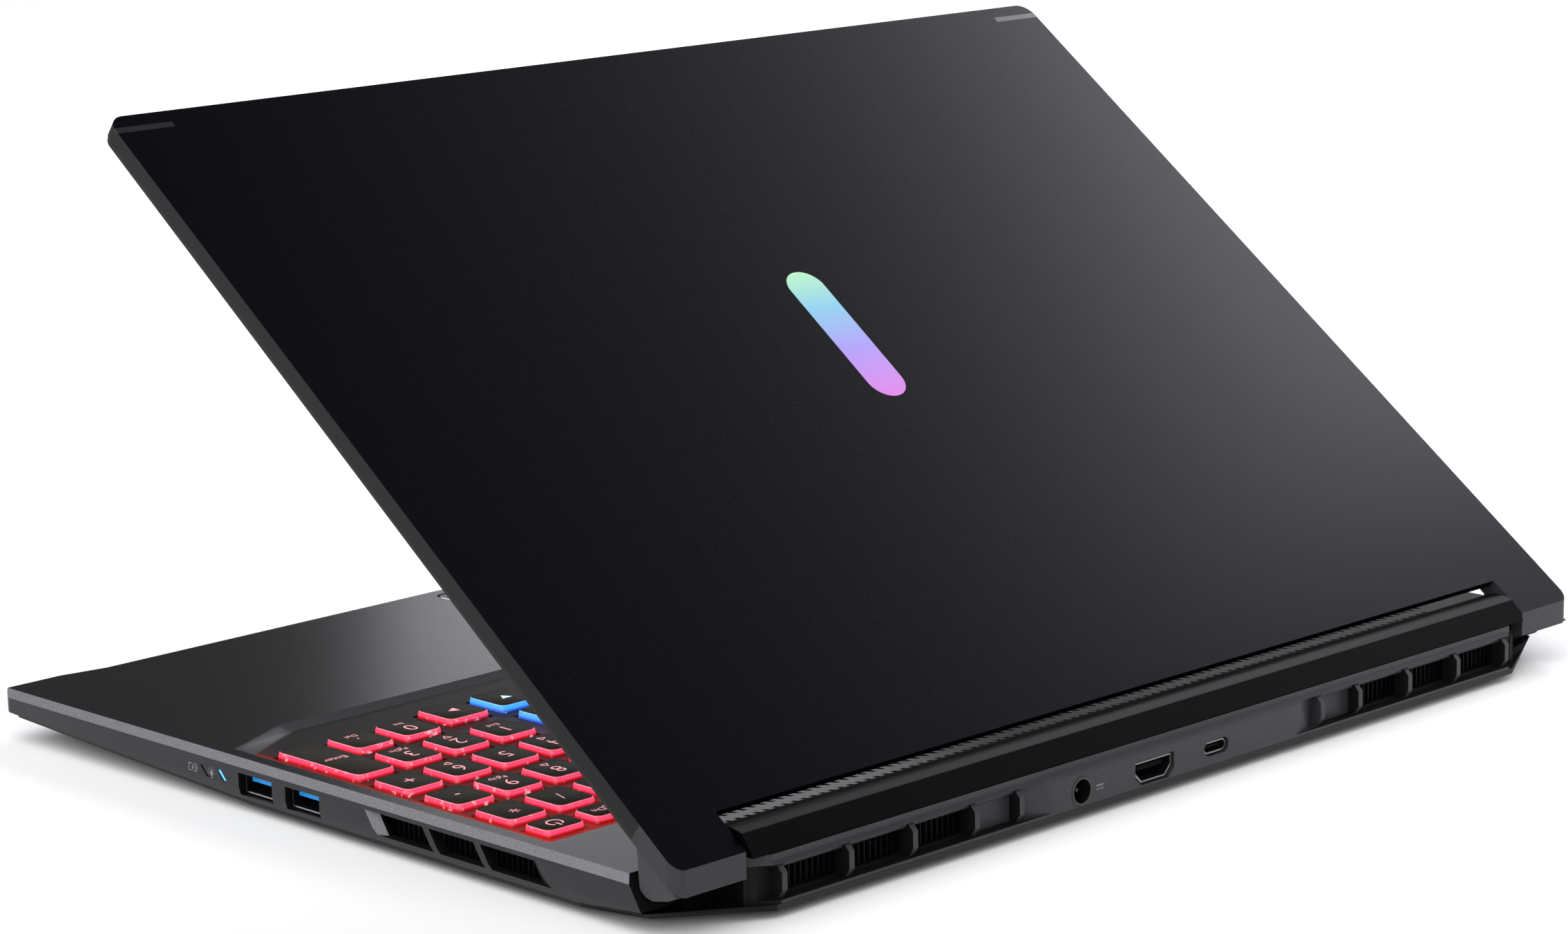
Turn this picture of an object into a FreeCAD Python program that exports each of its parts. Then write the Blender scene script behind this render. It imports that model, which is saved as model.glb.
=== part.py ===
import FreeCAD, Part
import math
import os

V = FreeCAD.Vector

# Laptop computer in millimetres. X is the user's right, Y points to the back, Z is up.
# Heights are counted from a datum near the underside, and the last step sets the feet on Z = 0.

# Driving dimensions of the base
BASE_HALF = 179.4
FRONT_Y = -140.6
REAR_Y = 138.3
DECK_Z = 12.8
DECK_THICK = 3.0
CEILING_Z = DECK_Z - DECK_THICK
WELL_DEPTH = 1.5
WELL_Z = DECK_Z - WELL_DEPTH
WALL = 3.2
UNDER_Z = 0.3
COVER_THICK = 1.5
COVER_TOP = UNDER_Z + COVER_THICK
BEND_Y = -29.0
FRONT_RISE = 4.7
GROUND_Z = -1.9
RISE = FRONT_RISE / (BEND_Y - FRONT_Y)

# Lid and hinge, with the lid drawn closed and then turned to the pictured angle
LID_HALF = 178.5
LID_LENGTH = 267.2
LID_TOP = 19.9
LID_THICK = 5.8
LID_REAR = 133.4
LID_FRONT = LID_REAR - LID_LENGTH
LID_OPEN = 37.28
BEZEL_FACE = LID_TOP - LID_THICK
BEZEL_BACK = BEZEL_FACE + 1.1
COVER_EDGE = BEZEL_BACK + 0.2
LID_SKIN = 1.2
NOTCH_HALF = 155.6
NOTCH_DEPTH = 13.0
NOTCH_EDGE = 2.2
HINGE_Y = 129.6
HINGE_Z = 14.2
PIN_R = 2.4
PIN_CLEAR = 0.08
BAR_HALF = 154.5
EAR_FLOOR = 14.4

# Screen
SCREEN_W = 344.6
SCREEN_H = 215.4
SCREEN_LOW_Y = LID_REAR - 43.0
WEBCAM_Y = -129.4

# Keys, sized at their top faces
KEY_TOP_Z = 13.1
KEY_SKIRT_Z = 10.6
KEY_CEILING_Z = 12.3
KEY_TRAVEL = 1.3
KEY_FLARE = 0.8
KEY_CLEAR = 0.7
KEY_CORNER = 1.6
KEY_GAP = 3.8
KEY_DEPTH = 14.5
ROW_PITCH = 20.0
FRONT_ROW_Y = -21.5
FUNCTION_Y = 75.1
FUNCTION_DEPTH = 9.5
PAD_PITCH = 16.3
PAD_RIGHT_X = 162.75
PAD_KEY = 12.5
MAIN_LEFT = -169.0
MAIN_RIGHT = 103.9
MAIN_UNITS = 15
UNIT = (MAIN_RIGHT - MAIN_LEFT + KEY_GAP) / MAIN_UNITS
ARROW_W = 14.0
ARROW_DEPTH = 15.0
ARROW_PITCH = 18.5
ARROW_RIGHT_X = 111.0
ARROW_Y = -25.5
PLATE_TOP = 9.0
PLATE_THICK = 0.4

# Touchpad
TOUCH_X = -34.3
TOUCH_Y = -93.6
TOUCH_W = 125.3
TOUCH_D = 78.0

# Inside
BOARD_Z = 3.2
BOARD_TOP = 4.4
FAN_X = 98.0
FAN_Y = 72.0
FAN_HALF = 40.0
FAN_LOW = 2.2
FAN_HIGH = 7.4
BLADES = 31
FIN_PITCH = 2.0
FIN_THICK = 0.5

# Side sockets and lights on the right wall
TYPE_A_RIGHT_Y = (-24.65, -4.8)
TYPE_A_LEFT_Y = -7.0
TYPE_A_Z = 6.0
TYPE_A_W = 13.2
TYPE_A_H = 5.1
SOCKET_CLEAR = 0.5
SOCKET_BACK_X = 160.0
SOCKET_MOUTH_X = 177.4
JACK_Y = -26.0
JACK_Z = 5.4
NETWORK_Y = (-57.0, -41.5)
NETWORK_Z = (3.2, 9.7)
VENT_Z = (3.5, 9.45)
VENT_LEAN = 4.0
VENT_SPANS = ((21.0, 43.7), (46.2, 63.4), (65.95, 89.4))
VENT_RAMPS = (3.1, 6.0)
VENT_RAMP_DEEP = 1.9
LIGHT_TOPS = (-48.4, -41.1)
LIGHT_LEAN = 2.6
LIGHT_W = 1.7
LIGHT_Z = (5.4, 8.2)

# Rear sockets
DC_X = 38.0
DC_Z = 5.9
DC_COLLAR_R = 3.9
VIDEO_X = 9.3
VIDEO_Z = 5.6
TYPE_C_X = -15.8
TYPE_C_Z = 6.4
REAR_BOARD_Y = 121.0
REAR_MOUTH_Y = 137.4
SHELL = 0.4

# Rear ribs, as distances from the middle
RIBS = (60.9, 77.5, 99.9, 122.3, 145.2)
RIB_W = 1.8

SCREWS = ((60.0, -128.0), (168.0, -122.0), (168.0, -63.0), (148.0, 104.0))


def under(y):
    """Height of the underside, which rises towards the front edge."""
    return UNDER_Z + max(0.0, BEND_Y - y) * RISE


def box(x0, x1, y0, y1, z0, z1):
    return Part.makeBox(x1 - x0, y1 - y0, z1 - z0, V(x0, y0, z0))


def polygon_face(points):
    return Part.Face(Part.makePolygon(points + points[:1]))


def prism_x(points, x0, x1):
    """Solid with an outline in Y and Z, from x0 to x1."""
    return polygon_face([V(x0, y, z) for y, z in points]).extrude(V(x1 - x0, 0, 0))


def prism_y(points, y0, y1):
    """Solid with an outline in X and Z, from y0 to y1."""
    return polygon_face([V(x, y0, z) for x, z in points]).extrude(V(0, y1 - y0, 0))


def plate(points, z0, z1):
    """Solid with an outline in X and Y, from z0 to z1."""
    return polygon_face([V(x, y, z0) for x, y in points]).extrude(V(0, 0, z1 - z0))


def rod_x(x0, x1, y, z, r):
    return Part.makeCylinder(r, x1 - x0, V(x0, y, z), V(1, 0, 0))


def rod_y(x, y0, y1, z, r):
    return Part.makeCylinder(r, y1 - y0, V(x, y0, z), V(0, 1, 0))


def rod_z(x, y, z0, z1, r):
    return Part.makeCylinder(r, z1 - z0, V(x, y, z0), V(0, 0, 1))


def mirrored(shape):
    return shape.mirror(V(0, 0, 0), V(1, 0, 0))


def both(shape):
    return [shape, mirrored(shape)]


def cut_all(shape, tools):
    return shape.cut(Part.makeCompound(tools))


def fuse_all(shapes):
    return shapes[0].multiFuse(shapes[1:]).removeSplitter()


def rounded_wire(cx, cy, w, d, r, z):
    """Rectangle with round corners, lying flat at height z."""
    edges = []
    corners = ((1, 1, 0), (-1, 1, 90), (-1, -1, 180), (1, -1, 270))
    last = V(cx + w / 2, cy - d / 2 + r, z)
    for sx, sy, turn in corners:
        middle = V(cx + sx * (w / 2 - r), cy + sy * (d / 2 - r), z)
        arc = [middle + V(r * math.cos(math.radians(turn + a)), r * math.sin(math.radians(turn + a)), 0)
               for a in (0, 45, 90)]
        edges.append(Part.makeLine(last, arc[0]))
        edges.append(Part.Arc(*arc).toShape())
        last = arc[2]
    return Part.Wire(edges)


def rounded_plate(cx, cy, w, d, r, z0, z1):
    return Part.Face(rounded_wire(cx, cy, w, d, r, z0)).extrude(V(0, 0, z1 - z0))


def upright_edges(shape, near):
    """Edges parallel to Z that stand on the given X and Y places."""
    found = []
    for edge in shape.Edges:
        a, b = edge.Vertexes[0].Point, edge.Vertexes[-1].Point
        standing = abs(a.x - b.x) < 0.01 and abs(a.y - b.y) < 0.01
        if standing and any(math.hypot(a.x - x, a.y - y) < 0.1 for x, y in near):
            found.append(edge)
    return found


# Base: covers


def below_walls():
    """Space under the side walls, filled by the bottom cover."""
    y0, y1 = FRONT_Y - 10, REAR_Y + 10
    points = [(y0, -20), (y1, -20), (y1, COVER_TOP), (BEND_Y, COVER_TOP), (y0, under(y0) + COVER_THICK)]
    return prism_x(points, -BASE_HALF - 5, BASE_HALF + 5)


def cover_corner():
    """Right rear corner of the bottom cover, whose rim leans out and rises towards the side wall."""
    rim_z = 3.3
    rear, bend, side = (147.9, REAR_Y), (172.4, 119.9), (177.4, 100.7)
    inner, inner_rear = (165.0, 112.0), (166.5, 123.6)
    rear_low, bend_low, side_low, inner_low, inner_rear_low = [
        V(x, y, UNDER_Z) for x, y in (rear, bend, side, inner, inner_rear)]
    rear_top, side_top, inner_top, inner_rear_top = [
        V(x, y, COVER_TOP) for x, y in (rear, (178.4, 101.2), inner, inner_rear)]
    bend_top = V(177.6, 123.2, rim_z)
    loops = [
        (rear_low, bend_low, side_low, inner_low, inner_rear_low),
        (rear_low, inner_rear_low, inner_rear_top, rear_top),
        (inner_rear_low, inner_low, inner_top, inner_rear_top),
        (inner_low, side_low, side_top), (inner_low, side_top, inner_top),
        (rear_low, bend_low, bend_top), (rear_low, bend_top, rear_top),
        (bend_low, side_low, side_top), (bend_low, side_top, bend_top),
        (rear_top, inner_rear_top, bend_top), (inner_rear_top, inner_top, bend_top), (inner_top, side_top, bend_top),
    ]
    return Part.makeSolid(Part.makeShell([polygon_face(loop) for loop in loops]))


def bottom_cover():
    half = [(173.6, FRONT_Y + 0.9), (177.4, FRONT_Y + 4.7), (177.4, 100.7), (172.4, 119.9), (147.9, REAR_Y)]
    outline = half + [(-x, y) for x, y in reversed(half)]
    y0, y1 = FRONT_Y - 10, REAR_Y + 10
    low = [(y0, under(y0)), (BEND_Y, UNDER_Z), (y1, UNDER_Z)]
    slab = prism_x(low + [(y, z + COVER_THICK) for y, z in reversed(low)], -BASE_HALF, BASE_HALF)
    cover = fuse_all([plate(outline, -5, 20).common(slab)] + both(cover_corner()))
    tools = []
    slot_w, slot_step, reach = 2.6, 6.0, 34.0
    for side in (-1, 1):
        for i in range(-5, 6):
            half_len = math.sqrt(reach ** 2 - (i * slot_step) ** 2)
            x = side * FAN_X + i * slot_step
            tools.append(box(x - slot_w / 2, x + slot_w / 2, FAN_Y - half_len, FAN_Y + half_len, -1, 3))
    for x, y in SCREWS:
        for hole in both(rod_z(x, y, under(y) - 1, under(y) + 0.9, 2.7)) + both(rod_z(x, y, -1, 12, 1.2)):
            tools.append(hole)
    posts = [rod_z(x, y, COVER_TOP - 0.2, BOARD_Z, 2.5)
             for x in (-140.0, -45.0, 45.0, 140.0) for y in (-25.0, 8.0)]
    posts += [rod_z(x, 100.0, COVER_TOP - 0.2, BOARD_Z, 2.5) for x in (-48.0, 48.0)]
    return fuse_all([cut_all(cover, tools)] + posts)


def vent_opening(y_top, width_top, lean, z0, z1, x0, x1):
    """Slanted opening in a side wall, leaning back towards its foot."""
    points = [(y_top, z1), (y_top + width_top, z1), (y_top + width_top + lean, z0), (y_top + lean, z0)]
    return prism_x(points, x0, x1)


def deck_slots():
    """Two rows of slanted slots in the strip between the keys and the hinge bar."""
    pitch, slot_w, lean, reach = 3.28, 1.4, 3.1, 4.7
    count = 93
    slots = []
    for y0, shift in ((97.4, 0.8), (105.2, 1.29)):
        for i in range(count):
            x = (i - (count - 1) / 2) * pitch + shift
            points = [(x, y0), (x + slot_w, y0), (x + slot_w - lean, y0 + reach), (x - lean, y0 + reach)]
            slots.append(plate(points, CEILING_Z - 1, DECK_Z + 1))
    return slots


def well_cut():
    """Keyboard well: sloped in front, with cut-off front corners, and upright at the sides and back."""
    right, rear = 174.2, 86.3
    top = [(right, -40.0), (right, rear), (-right, rear), (-right, -40.0), (-152.0, -49.7), (152.0, -49.7)]
    floor = [(right, -34.0), (right, rear), (-right, rear), (-right, -34.0), (-149.3, -46.4), (149.3, -46.4)]
    wires = []
    for points, z in ((floor, WELL_Z), (top, DECK_Z)):
        loop = [V(x, y, z) for x, y in points]
        wires.append(Part.makePolygon(loop + loop[:1]))
    return Part.makeLoft(wires, True, True)


def front_scoop():
    """Finger scoop along the front edge, with slanted ends."""
    deep, drop, slant = 3.55, 2.4, 5.47
    inner_top, inner_low = 146.0, 150.0
    ahead = FRONT_Y - 1
    sections = []
    for half, y, z in ((inner_low, FRONT_Y, DECK_Z - drop), (inner_top, FRONT_Y + deep, DECK_Z)):
        end = half + slant * (y - ahead)
        sections.append([V(half, y, z), V(end, ahead, z), V(-end, ahead, z), V(-half, y, z)])
    return Part.makeLoft([Part.makePolygon(loop + loop[:1]) for loop in sections], True, True)


def vent_ramp(y_out, y_in, width_out, width_in, x_in):
    """Mouth of a vent opening whose ends slope from the outside of the wall to the depth x_in."""
    sections = []
    for y, width, x in ((y_out, width_out, BASE_HALF), (y_in, width_in, x_in)):
        low, high = VENT_Z
        loop = [V(x, y, high), V(x, y + width, high), V(x, y + width + VENT_LEAN, low), V(x, y + VENT_LEAN, low)]
        sections.append(Part.makePolygon(loop + loop[:1]))
    return Part.makeLoft(sections, True, True)


def side_vents(wall_x, out):
    """Three slanted openings, the first and the last with a sloped outer end."""
    tools = []
    first, last = VENT_SPANS[0], VENT_SPANS[-1]
    for y0, y1 in ((first[0] + VENT_RAMPS[0], first[1]), VENT_SPANS[1], (last[0], last[1] - VENT_RAMPS[1])):
        tools.append(vent_opening(y0, y1 - y0, VENT_LEAN, VENT_Z[0], VENT_Z[1], wall_x, out))
    ramp_x = BASE_HALF - VENT_RAMP_DEEP
    span = first[1] - first[0]
    tools.append(vent_ramp(first[0], first[0] + VENT_RAMPS[0], span, span - VENT_RAMPS[0], ramp_x))
    span = last[1] - last[0]
    tools.append(vent_ramp(last[0], last[0], span, span - VENT_RAMPS[1], ramp_x))
    return tools


def top_case_cuts():
    """Everything taken out of the deck and the walls, apart from the key holes."""
    out = BASE_HALF + 5
    edge_x, chamfer_z, foot_x = 178.0, 10.6, 178.6
    chamfer = [(edge_x, DECK_Z), (edge_x, DECK_Z + 5), (out, DECK_Z + 5), (out, chamfer_z),
               (BASE_HALF, chamfer_z)]
    undercut = [(BASE_HALF, 5.0), (out, 5.0), (out, -5), (foot_x, -5), (foot_x, COVER_TOP)]
    tools = []
    for outline in (chamfer, undercut):
        tools += both(prism_y(outline, FRONT_Y - 5, REAR_Y))
    lip = [(FRONT_Y - 1, DECK_Z + 1), (FRONT_Y - 1, DECK_Z - 1.6), (FRONT_Y, DECK_Z - 1.6),
           (FRONT_Y + 0.9, DECK_Z), (FRONT_Y + 0.9, DECK_Z + 1)]
    tools.append(prism_x(lip, -out, out))
    tools.append(front_scoop())
    # Inner space, with the corner pockets of the hinges left outside it
    inner = BASE_HALF - WALL
    tools.append(box(-inner, inner, FRONT_Y + 2.2, 117.0, -20, CEILING_Z))
    tools.append(box(-153.0, 153.0, 110.0, 130.0, -20, CEILING_Z))
    pocket = [(119.2, DECK_Z + 1), (119.2, DECK_Z), (125.0, 3.4), (125.0, -5), (145, -5), (145, DECK_Z + 1)]
    tools += both(prism_x(pocket, 155.2, out))
    tools.append(box(-155.3, 155.3, 120.9, 145, -20, DECK_Z + 1))
    tools += both(prism_x([(101.0, COVER_TOP), (125.0, 4.3), (125.0, 0), (101.0, 0)], 164.0, out))
    tools.append(well_cut())
    tools.append(rounded_plate(TOUCH_X, TOUCH_Y, TOUCH_W + 0.8, TOUCH_D + 0.8, 3.4, CEILING_Z + 0.8, DECK_Z + 1))
    wall_x = inner - 1
    vents = side_vents(wall_x, out)
    tools += vents + [mirrored(vent) for vent in vents]
    # Right wall: two sockets and two lights
    beds = []
    for y in TYPE_A_RIGHT_Y:
        beds.append(type_a_block(y, SOCKET_CLEAR, wall_x, out))
    for y in LIGHT_TOPS:
        beds.append(vent_opening(y, LIGHT_W, LIGHT_LEAN, LIGHT_Z[0], LIGHT_Z[1], wall_x, out))
    tools += beds
    # Left wall: network socket, type-A socket and audio jack
    tools.append(mirrored(type_a_block(TYPE_A_LEFT_Y, SOCKET_CLEAR, wall_x, out)))
    tools.append(box(-out, -wall_x, NETWORK_Y[0] - 0.3, NETWORK_Y[1] + 0.3, NETWORK_Z[0] - 0.3, NETWORK_Z[1] + 0.3))
    tools.append(rod_x(-out, -wall_x, JACK_Y, JACK_Z, 3.3))
    return tools


def type_a_block(y, clear, x0, x1):
    w, h = TYPE_A_W / 2 + clear, TYPE_A_H / 2 + clear
    return box(x0, x1, y - w, y + w, TYPE_A_Z - h, TYPE_A_Z + h)


def top_case():
    block = box(-BASE_HALF, BASE_HALF, FRONT_Y, 125.0, -3, DECK_Z)
    corners = [(-BASE_HALF, FRONT_Y), (BASE_HALF, FRONT_Y)]
    block = block.makeFillet(4.0, upright_edges(block, corners))
    case = cut_all(block, top_case_cuts())
    bosses = []
    for x, y in SCREWS:
        bosses += both(rod_z(x, y, -3, CEILING_Z, 3.2))
    case = case.multiFuse(bosses)
    holes = []
    for x, y in SCREWS:
        holes += both(rod_z(x, y, -4, CEILING_Z - 0.5, 1.2))
    for cx, cy, w, d in all_keys():
        grow = KEY_FLARE + KEY_CLEAR
        holes.append(box(cx - (w + grow) / 2, cx + (w + grow) / 2, cy - (d + grow) / 2, cy + (d + grow) / 2,
                         CEILING_Z - 1, WELL_Z + 1))
    holes.append(below_walls())
    return cut_all(cut_all(case, holes), deck_slots())


# Base: back


def arc_through(a, b, c, x):
    return Part.Arc(*[V(x, y, z) for y, z in (a, b, c)]).toShape()


def bar_outline(x):
    """Section of the hinge bar: round towards the lid, crowned on top, sloped at the back."""
    front_r = 8.4
    crease, crown_r = (133.4, 20.1), 13.8
    start_turn, mid_turn, end_turn = 180.0, 158.9, 137.8
    front = [(HINGE_Y + front_r * math.cos(math.radians(t)), HINGE_Z + front_r * math.sin(math.radians(t)))
             for t in (start_turn, mid_turn, end_turn)]
    # The crown's centre lies under the crease, 20 degrees off the vertical
    cy = crease[0] - crown_r * math.sin(math.radians(20.0))
    cz = crease[1] - crown_r * math.cos(math.radians(20.0))
    top = (cy, cz + crown_r)
    foot = 11.6
    corners = [(136.6, 16.2), (137.3, 14.5), (135.6, 14.5), (135.2, 15.8), (132.7, 18.5), (128.7, 19.3),
               (124.6, 18.2), (122.8, 14.2), (122.8, foot), (front[0][0], foot), front[0]]
    edges = [arc_through(front[0], front[1], front[2], x), arc_through(front[2], top, crease, x)]
    last = crease
    for point in corners:
        edges.append(Part.makeLine(V(x, *last), V(x, *point)))
        last = point
    return Part.Wire(edges)


def hinge_bar():
    bar = Part.Face(bar_outline(-BAR_HALF)).extrude(V(2 * BAR_HALF, 0, 0))
    filler = prism_x([(122.0, 11.6), (122.0, 14.2), (124.0, 18.4), (128.7, 19.9), (132.9, 19.0), (135.9, 15.8),
                      (136.4, 14.5), (133.0, 14.5), (133.0, 11.6)], BAR_HALF - 1.5, BAR_HALF)
    hole = rod_x(BAR_HALF - 3, BAR_HALF + 3, HINGE_Y, HINGE_Z, PIN_R + 0.5)
    end = filler.cut(hole)
    return fuse_all([bar] + both(end))


def rib(x):
    points = [(134.0, 11.7), (136.0, 11.7), (REAR_Y, 9.3), (REAR_Y, 4.9), (136.4, 2.2), (134.0, 2.2)]
    return prism_x(points, x - RIB_W / 2, x + RIB_W / 2)


def rear_panel():
    section = [(133.2, COVER_TOP), (REAR_Y - 0.1, COVER_TOP), (REAR_Y - 0.1, 10.6), (136.6, 12.2),
               (137.1, 14.2), (133.2, 14.2)]
    panel = prism_x(section, -BAR_HALF, BAR_HALF)
    bed_y, bed_z0, bed_z1 = 134.6, 2.6, 11.4
    tools = []
    # Recess for the ribs, running out to the socket area in a long slant
    slant = [(RIBS[0] - 12.0, REAR_Y), (RIBS[0], bed_y), (BAR_HALF + 1, bed_y), (BAR_HALF + 1, REAR_Y + 2),
             (RIBS[0] - 12.0, REAR_Y + 2)]
    tools += both(plate(slant, bed_z0, bed_z1))
    tools += both(plate([(146.2, REAR_Y), (156.0, 131.0), (156.0, 142.0), (146.2, 142.0)], 0, 20))
    for a, b in zip(RIBS[1:], RIBS[2:]):
        tools += both(box(a + RIB_W / 2, b - RIB_W / 2, 130.0, 136.0, 3.2, 9.9))
    tools.append(rod_y(DC_X, 130.0, 142.0, DC_Z, DC_COLLAR_R + 0.1))
    tools.append(video_outline(SOCKET_CLEAR, 130.0, 142.0))
    tools.append(type_c_outline(SOCKET_CLEAR, 130.0, 142.0))
    panel = cut_all(panel, tools)
    ribs = []
    for x in RIBS:
        ribs += both(rib(x))
    rails = both(rod_x(RIBS[0], RIBS[-1], 135.3, 10.7, 0.9))
    walls = both(box(153.0, BAR_HALF, 121.2, 133.6, COVER_TOP, 11.3))
    return fuse_all([panel] + ribs + rails + walls)


# Base: sockets


def video_outline(clear, y0, y1):
    w, h, cut = 7.3 + clear, 2.8 + clear, 2.4
    points = [(VIDEO_X - w, VIDEO_Z + h), (VIDEO_X + w, VIDEO_Z + h), (VIDEO_X + w, VIDEO_Z - h + cut),
              (VIDEO_X + w - cut, VIDEO_Z - h), (VIDEO_X - w + cut, VIDEO_Z - h), (VIDEO_X - w, VIDEO_Z - h + cut)]
    return prism_y(points, y0, y1)


def type_c_outline(clear, y0, y1):
    half, r = 2.9, 1.6 + clear
    core = box(TYPE_C_X - half, TYPE_C_X + half, y0, y1, TYPE_C_Z - r, TYPE_C_Z + r)
    ends = [rod_y(TYPE_C_X + side * half, y0, y1, TYPE_C_Z, r) for side in (-1, 1)]
    return fuse_all([core] + ends)


def video_port():
    shell = video_outline(0, REAR_BOARD_Y, REAR_MOUTH_Y)
    hollow = video_outline(-SHELL, REAR_BOARD_Y + 3, REAR_MOUTH_Y + 1)
    tongue = box(VIDEO_X - 5.0, VIDEO_X + 5.0, REAR_BOARD_Y + 2, REAR_MOUTH_Y - 1.2, VIDEO_Z + 0.2, VIDEO_Z + 1.4)
    return shell.cut(hollow).fuse(tongue)


def type_c_port():
    shell = type_c_outline(0, REAR_BOARD_Y, REAR_MOUTH_Y)
    hollow = type_c_outline(-SHELL, REAR_BOARD_Y + 3, REAR_MOUTH_Y + 1)
    tongue = box(TYPE_C_X - 3.2, TYPE_C_X + 3.2, REAR_BOARD_Y + 2, REAR_MOUTH_Y - 1.0,
                 TYPE_C_Z - 0.35, TYPE_C_Z + 0.35)
    return shell.cut(hollow).fuse(tongue)


def dc_jack():
    body = box(DC_X - 5, DC_X + 5, REAR_BOARD_Y, 132.8, COVER_TOP + 0.1, 9.6)
    collar = rod_y(DC_X, 132.8, REAR_Y, DC_Z, DC_COLLAR_R)
    bore = rod_y(DC_X, 124.0, 142.0, DC_Z, 3.2)
    pin = rod_y(DC_X, 123.0, 136.4, DC_Z, 0.5)
    return body.fuse(collar).cut(bore).fuse(pin)


def type_a_socket(y):
    """Metal shell and plastic tongue of one type-A socket on the right wall."""
    shell = type_a_block(y, 0, SOCKET_BACK_X, SOCKET_MOUTH_X)
    hollow = type_a_block(y, -SHELL, SOCKET_BACK_X + 3, SOCKET_MOUTH_X + 1)
    w = 5.6
    tongue = box(SOCKET_BACK_X + 3, SOCKET_MOUTH_X - 1.5, y - w, y + w, TYPE_A_Z + 0.3, TYPE_A_Z + 2.1)
    return [shell.cut(hollow), tongue]


def type_a_ports():
    solids = []
    for y in TYPE_A_RIGHT_Y:
        solids += type_a_socket(y)
    solids += [mirrored(solid) for solid in type_a_socket(TYPE_A_LEFT_Y)]
    return Part.makeCompound(solids)


def audio_jack():
    body = box(-174.0, -SOCKET_BACK_X, JACK_Y - 3.4, JACK_Y + 3.4, JACK_Z - 3.0, JACK_Z + 2.7)
    barrel = rod_x(-178.6, -173.8, JACK_Y, JACK_Z, 3.0)
    return body.fuse(barrel).cut(rod_x(-182.0, -164.0, JACK_Y, JACK_Z, 1.8))


def network_port():
    y0, y1 = NETWORK_Y
    z0, z1 = NETWORK_Z
    body = box(-178.3, -SOCKET_BACK_X, y0, y1, z0, z1)
    mouth = box(-182.0, -166.0, y0 + 1.8, y1 - 1.8, z0 + 1.5, z1 - 0.5)
    latch = box(-182.0, -166.0, y0 + 4.7, y1 - 4.7, z0 + 0.5, z0 + 2.0)
    return body.cut(mouth).cut(latch)


def status_lights():
    pipes = [vent_opening(y + 0.15, LIGHT_W - 0.3, LIGHT_LEAN, LIGHT_Z[0] + 0.1, LIGHT_Z[1] - 0.1, 175.0, 179.1)
             for y in LIGHT_TOPS]
    return Part.makeCompound(pipes)


# Base: inside


def keyboard_plate():
    x, y0, y1 = 173.6, -40.0, 85.0
    low = PLATE_TOP - PLATE_THICK
    sheet = box(-x, x, y0, y1, low, PLATE_TOP)
    rim = box(-x, x, y0, y1, PLATE_TOP, CEILING_Z).cut(box(-x + 1.2, x - 1.2, y0 + 1.2, y1 - 1.2, 0, 20))
    dome_top = KEY_CEILING_Z - KEY_TRAVEL - 0.1
    domes = [rod_z(cx, cy, PLATE_TOP - 0.3, dome_top, 2.4) for cx, cy, w, d in all_keys()]
    return fuse_all([sheet, rim] + domes)


def mainboard():
    outline = [(-160, -46), (160, -46), (160, 16), (56, 16), (56, REAR_BOARD_Y), (-56, REAR_BOARD_Y),
               (-56, 16), (-160, 16)]
    return plate(outline, BOARD_Z, BOARD_TOP)


def battery_pack():
    y0, y1, top = -108.0, -54.0, 9.4
    split = -81.0
    low = [(y0, under(y0) + COVER_THICK), (y1, under(y1) + COVER_THICK)]
    pack = prism_x(low + [(y1, top), (y0, top)], -122.0, 122.0)
    grooves = [box(x - 0.6, x + 0.6, y0 - 1, y1 + 1, top - 0.8, top + 1) for x in (-61.0, 0.0, 61.0)]
    grooves.append(box(-123.0, 123.0, split - 0.6, split + 0.6, top - 0.8, top + 1))
    return cut_all(pack, grooves)


def speakers():
    y0, y1 = -114.0, -68.0
    low = [(y0, under(y0) + COVER_THICK), (y1, under(y1) + COVER_THICK)]
    body = prism_x(low + [(y1, 9.2), (y0, 9.2)], 132.0, 172.0)
    cone = rod_z(152.0, -80.0, 8.6, 9.7, 7.5)
    ring = rod_z(152.0, -80.0, 8.6, 9.7, 6.0)
    return Part.makeCompound(both(body.fuse(cone.cut(ring))))


def fan_housing(side):
    x = side * FAN_X
    case = rounded_plate(x, FAN_Y, 2 * FAN_HALF, 2 * FAN_HALF, 6.0, FAN_LOW, FAN_HIGH)
    z0, z1 = FAN_LOW + 0.7, FAN_HIGH - 0.7
    rear_way = box(x - 36, x + 36, FAN_Y, FAN_Y + FAN_HALF + 2, z0, z1)
    side_way = box(min(x, x + side * 42), max(x, x + side * 42), FAN_Y - 34, FAN_Y + 30, z0, z1)
    inlets = [rod_z(x, FAN_Y, FAN_LOW - 1, z0 + 0.1, 26.0), rod_z(x, FAN_Y, z1 - 0.1, FAN_HIGH + 1, 22.0)]
    case = cut_all(case, [rod_z(x, FAN_Y, z0, z1, 37.0), rear_way, side_way] + inlets)
    spider = [rod_z(x, FAN_Y, FAN_LOW, z0, 9.0), rod_z(x, FAN_Y, FAN_LOW, FAN_LOW + 3.2, 2.0)]
    for turn in (90, 210, 330):
        arm = box(x + 5, x + 28, FAN_Y - 1.5, FAN_Y + 1.5, FAN_LOW, z0)
        arm.rotate(V(x, FAN_Y, 0), V(0, 0, 1), turn)
        spider.append(arm)
    return fuse_all([case] + spider)


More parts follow.
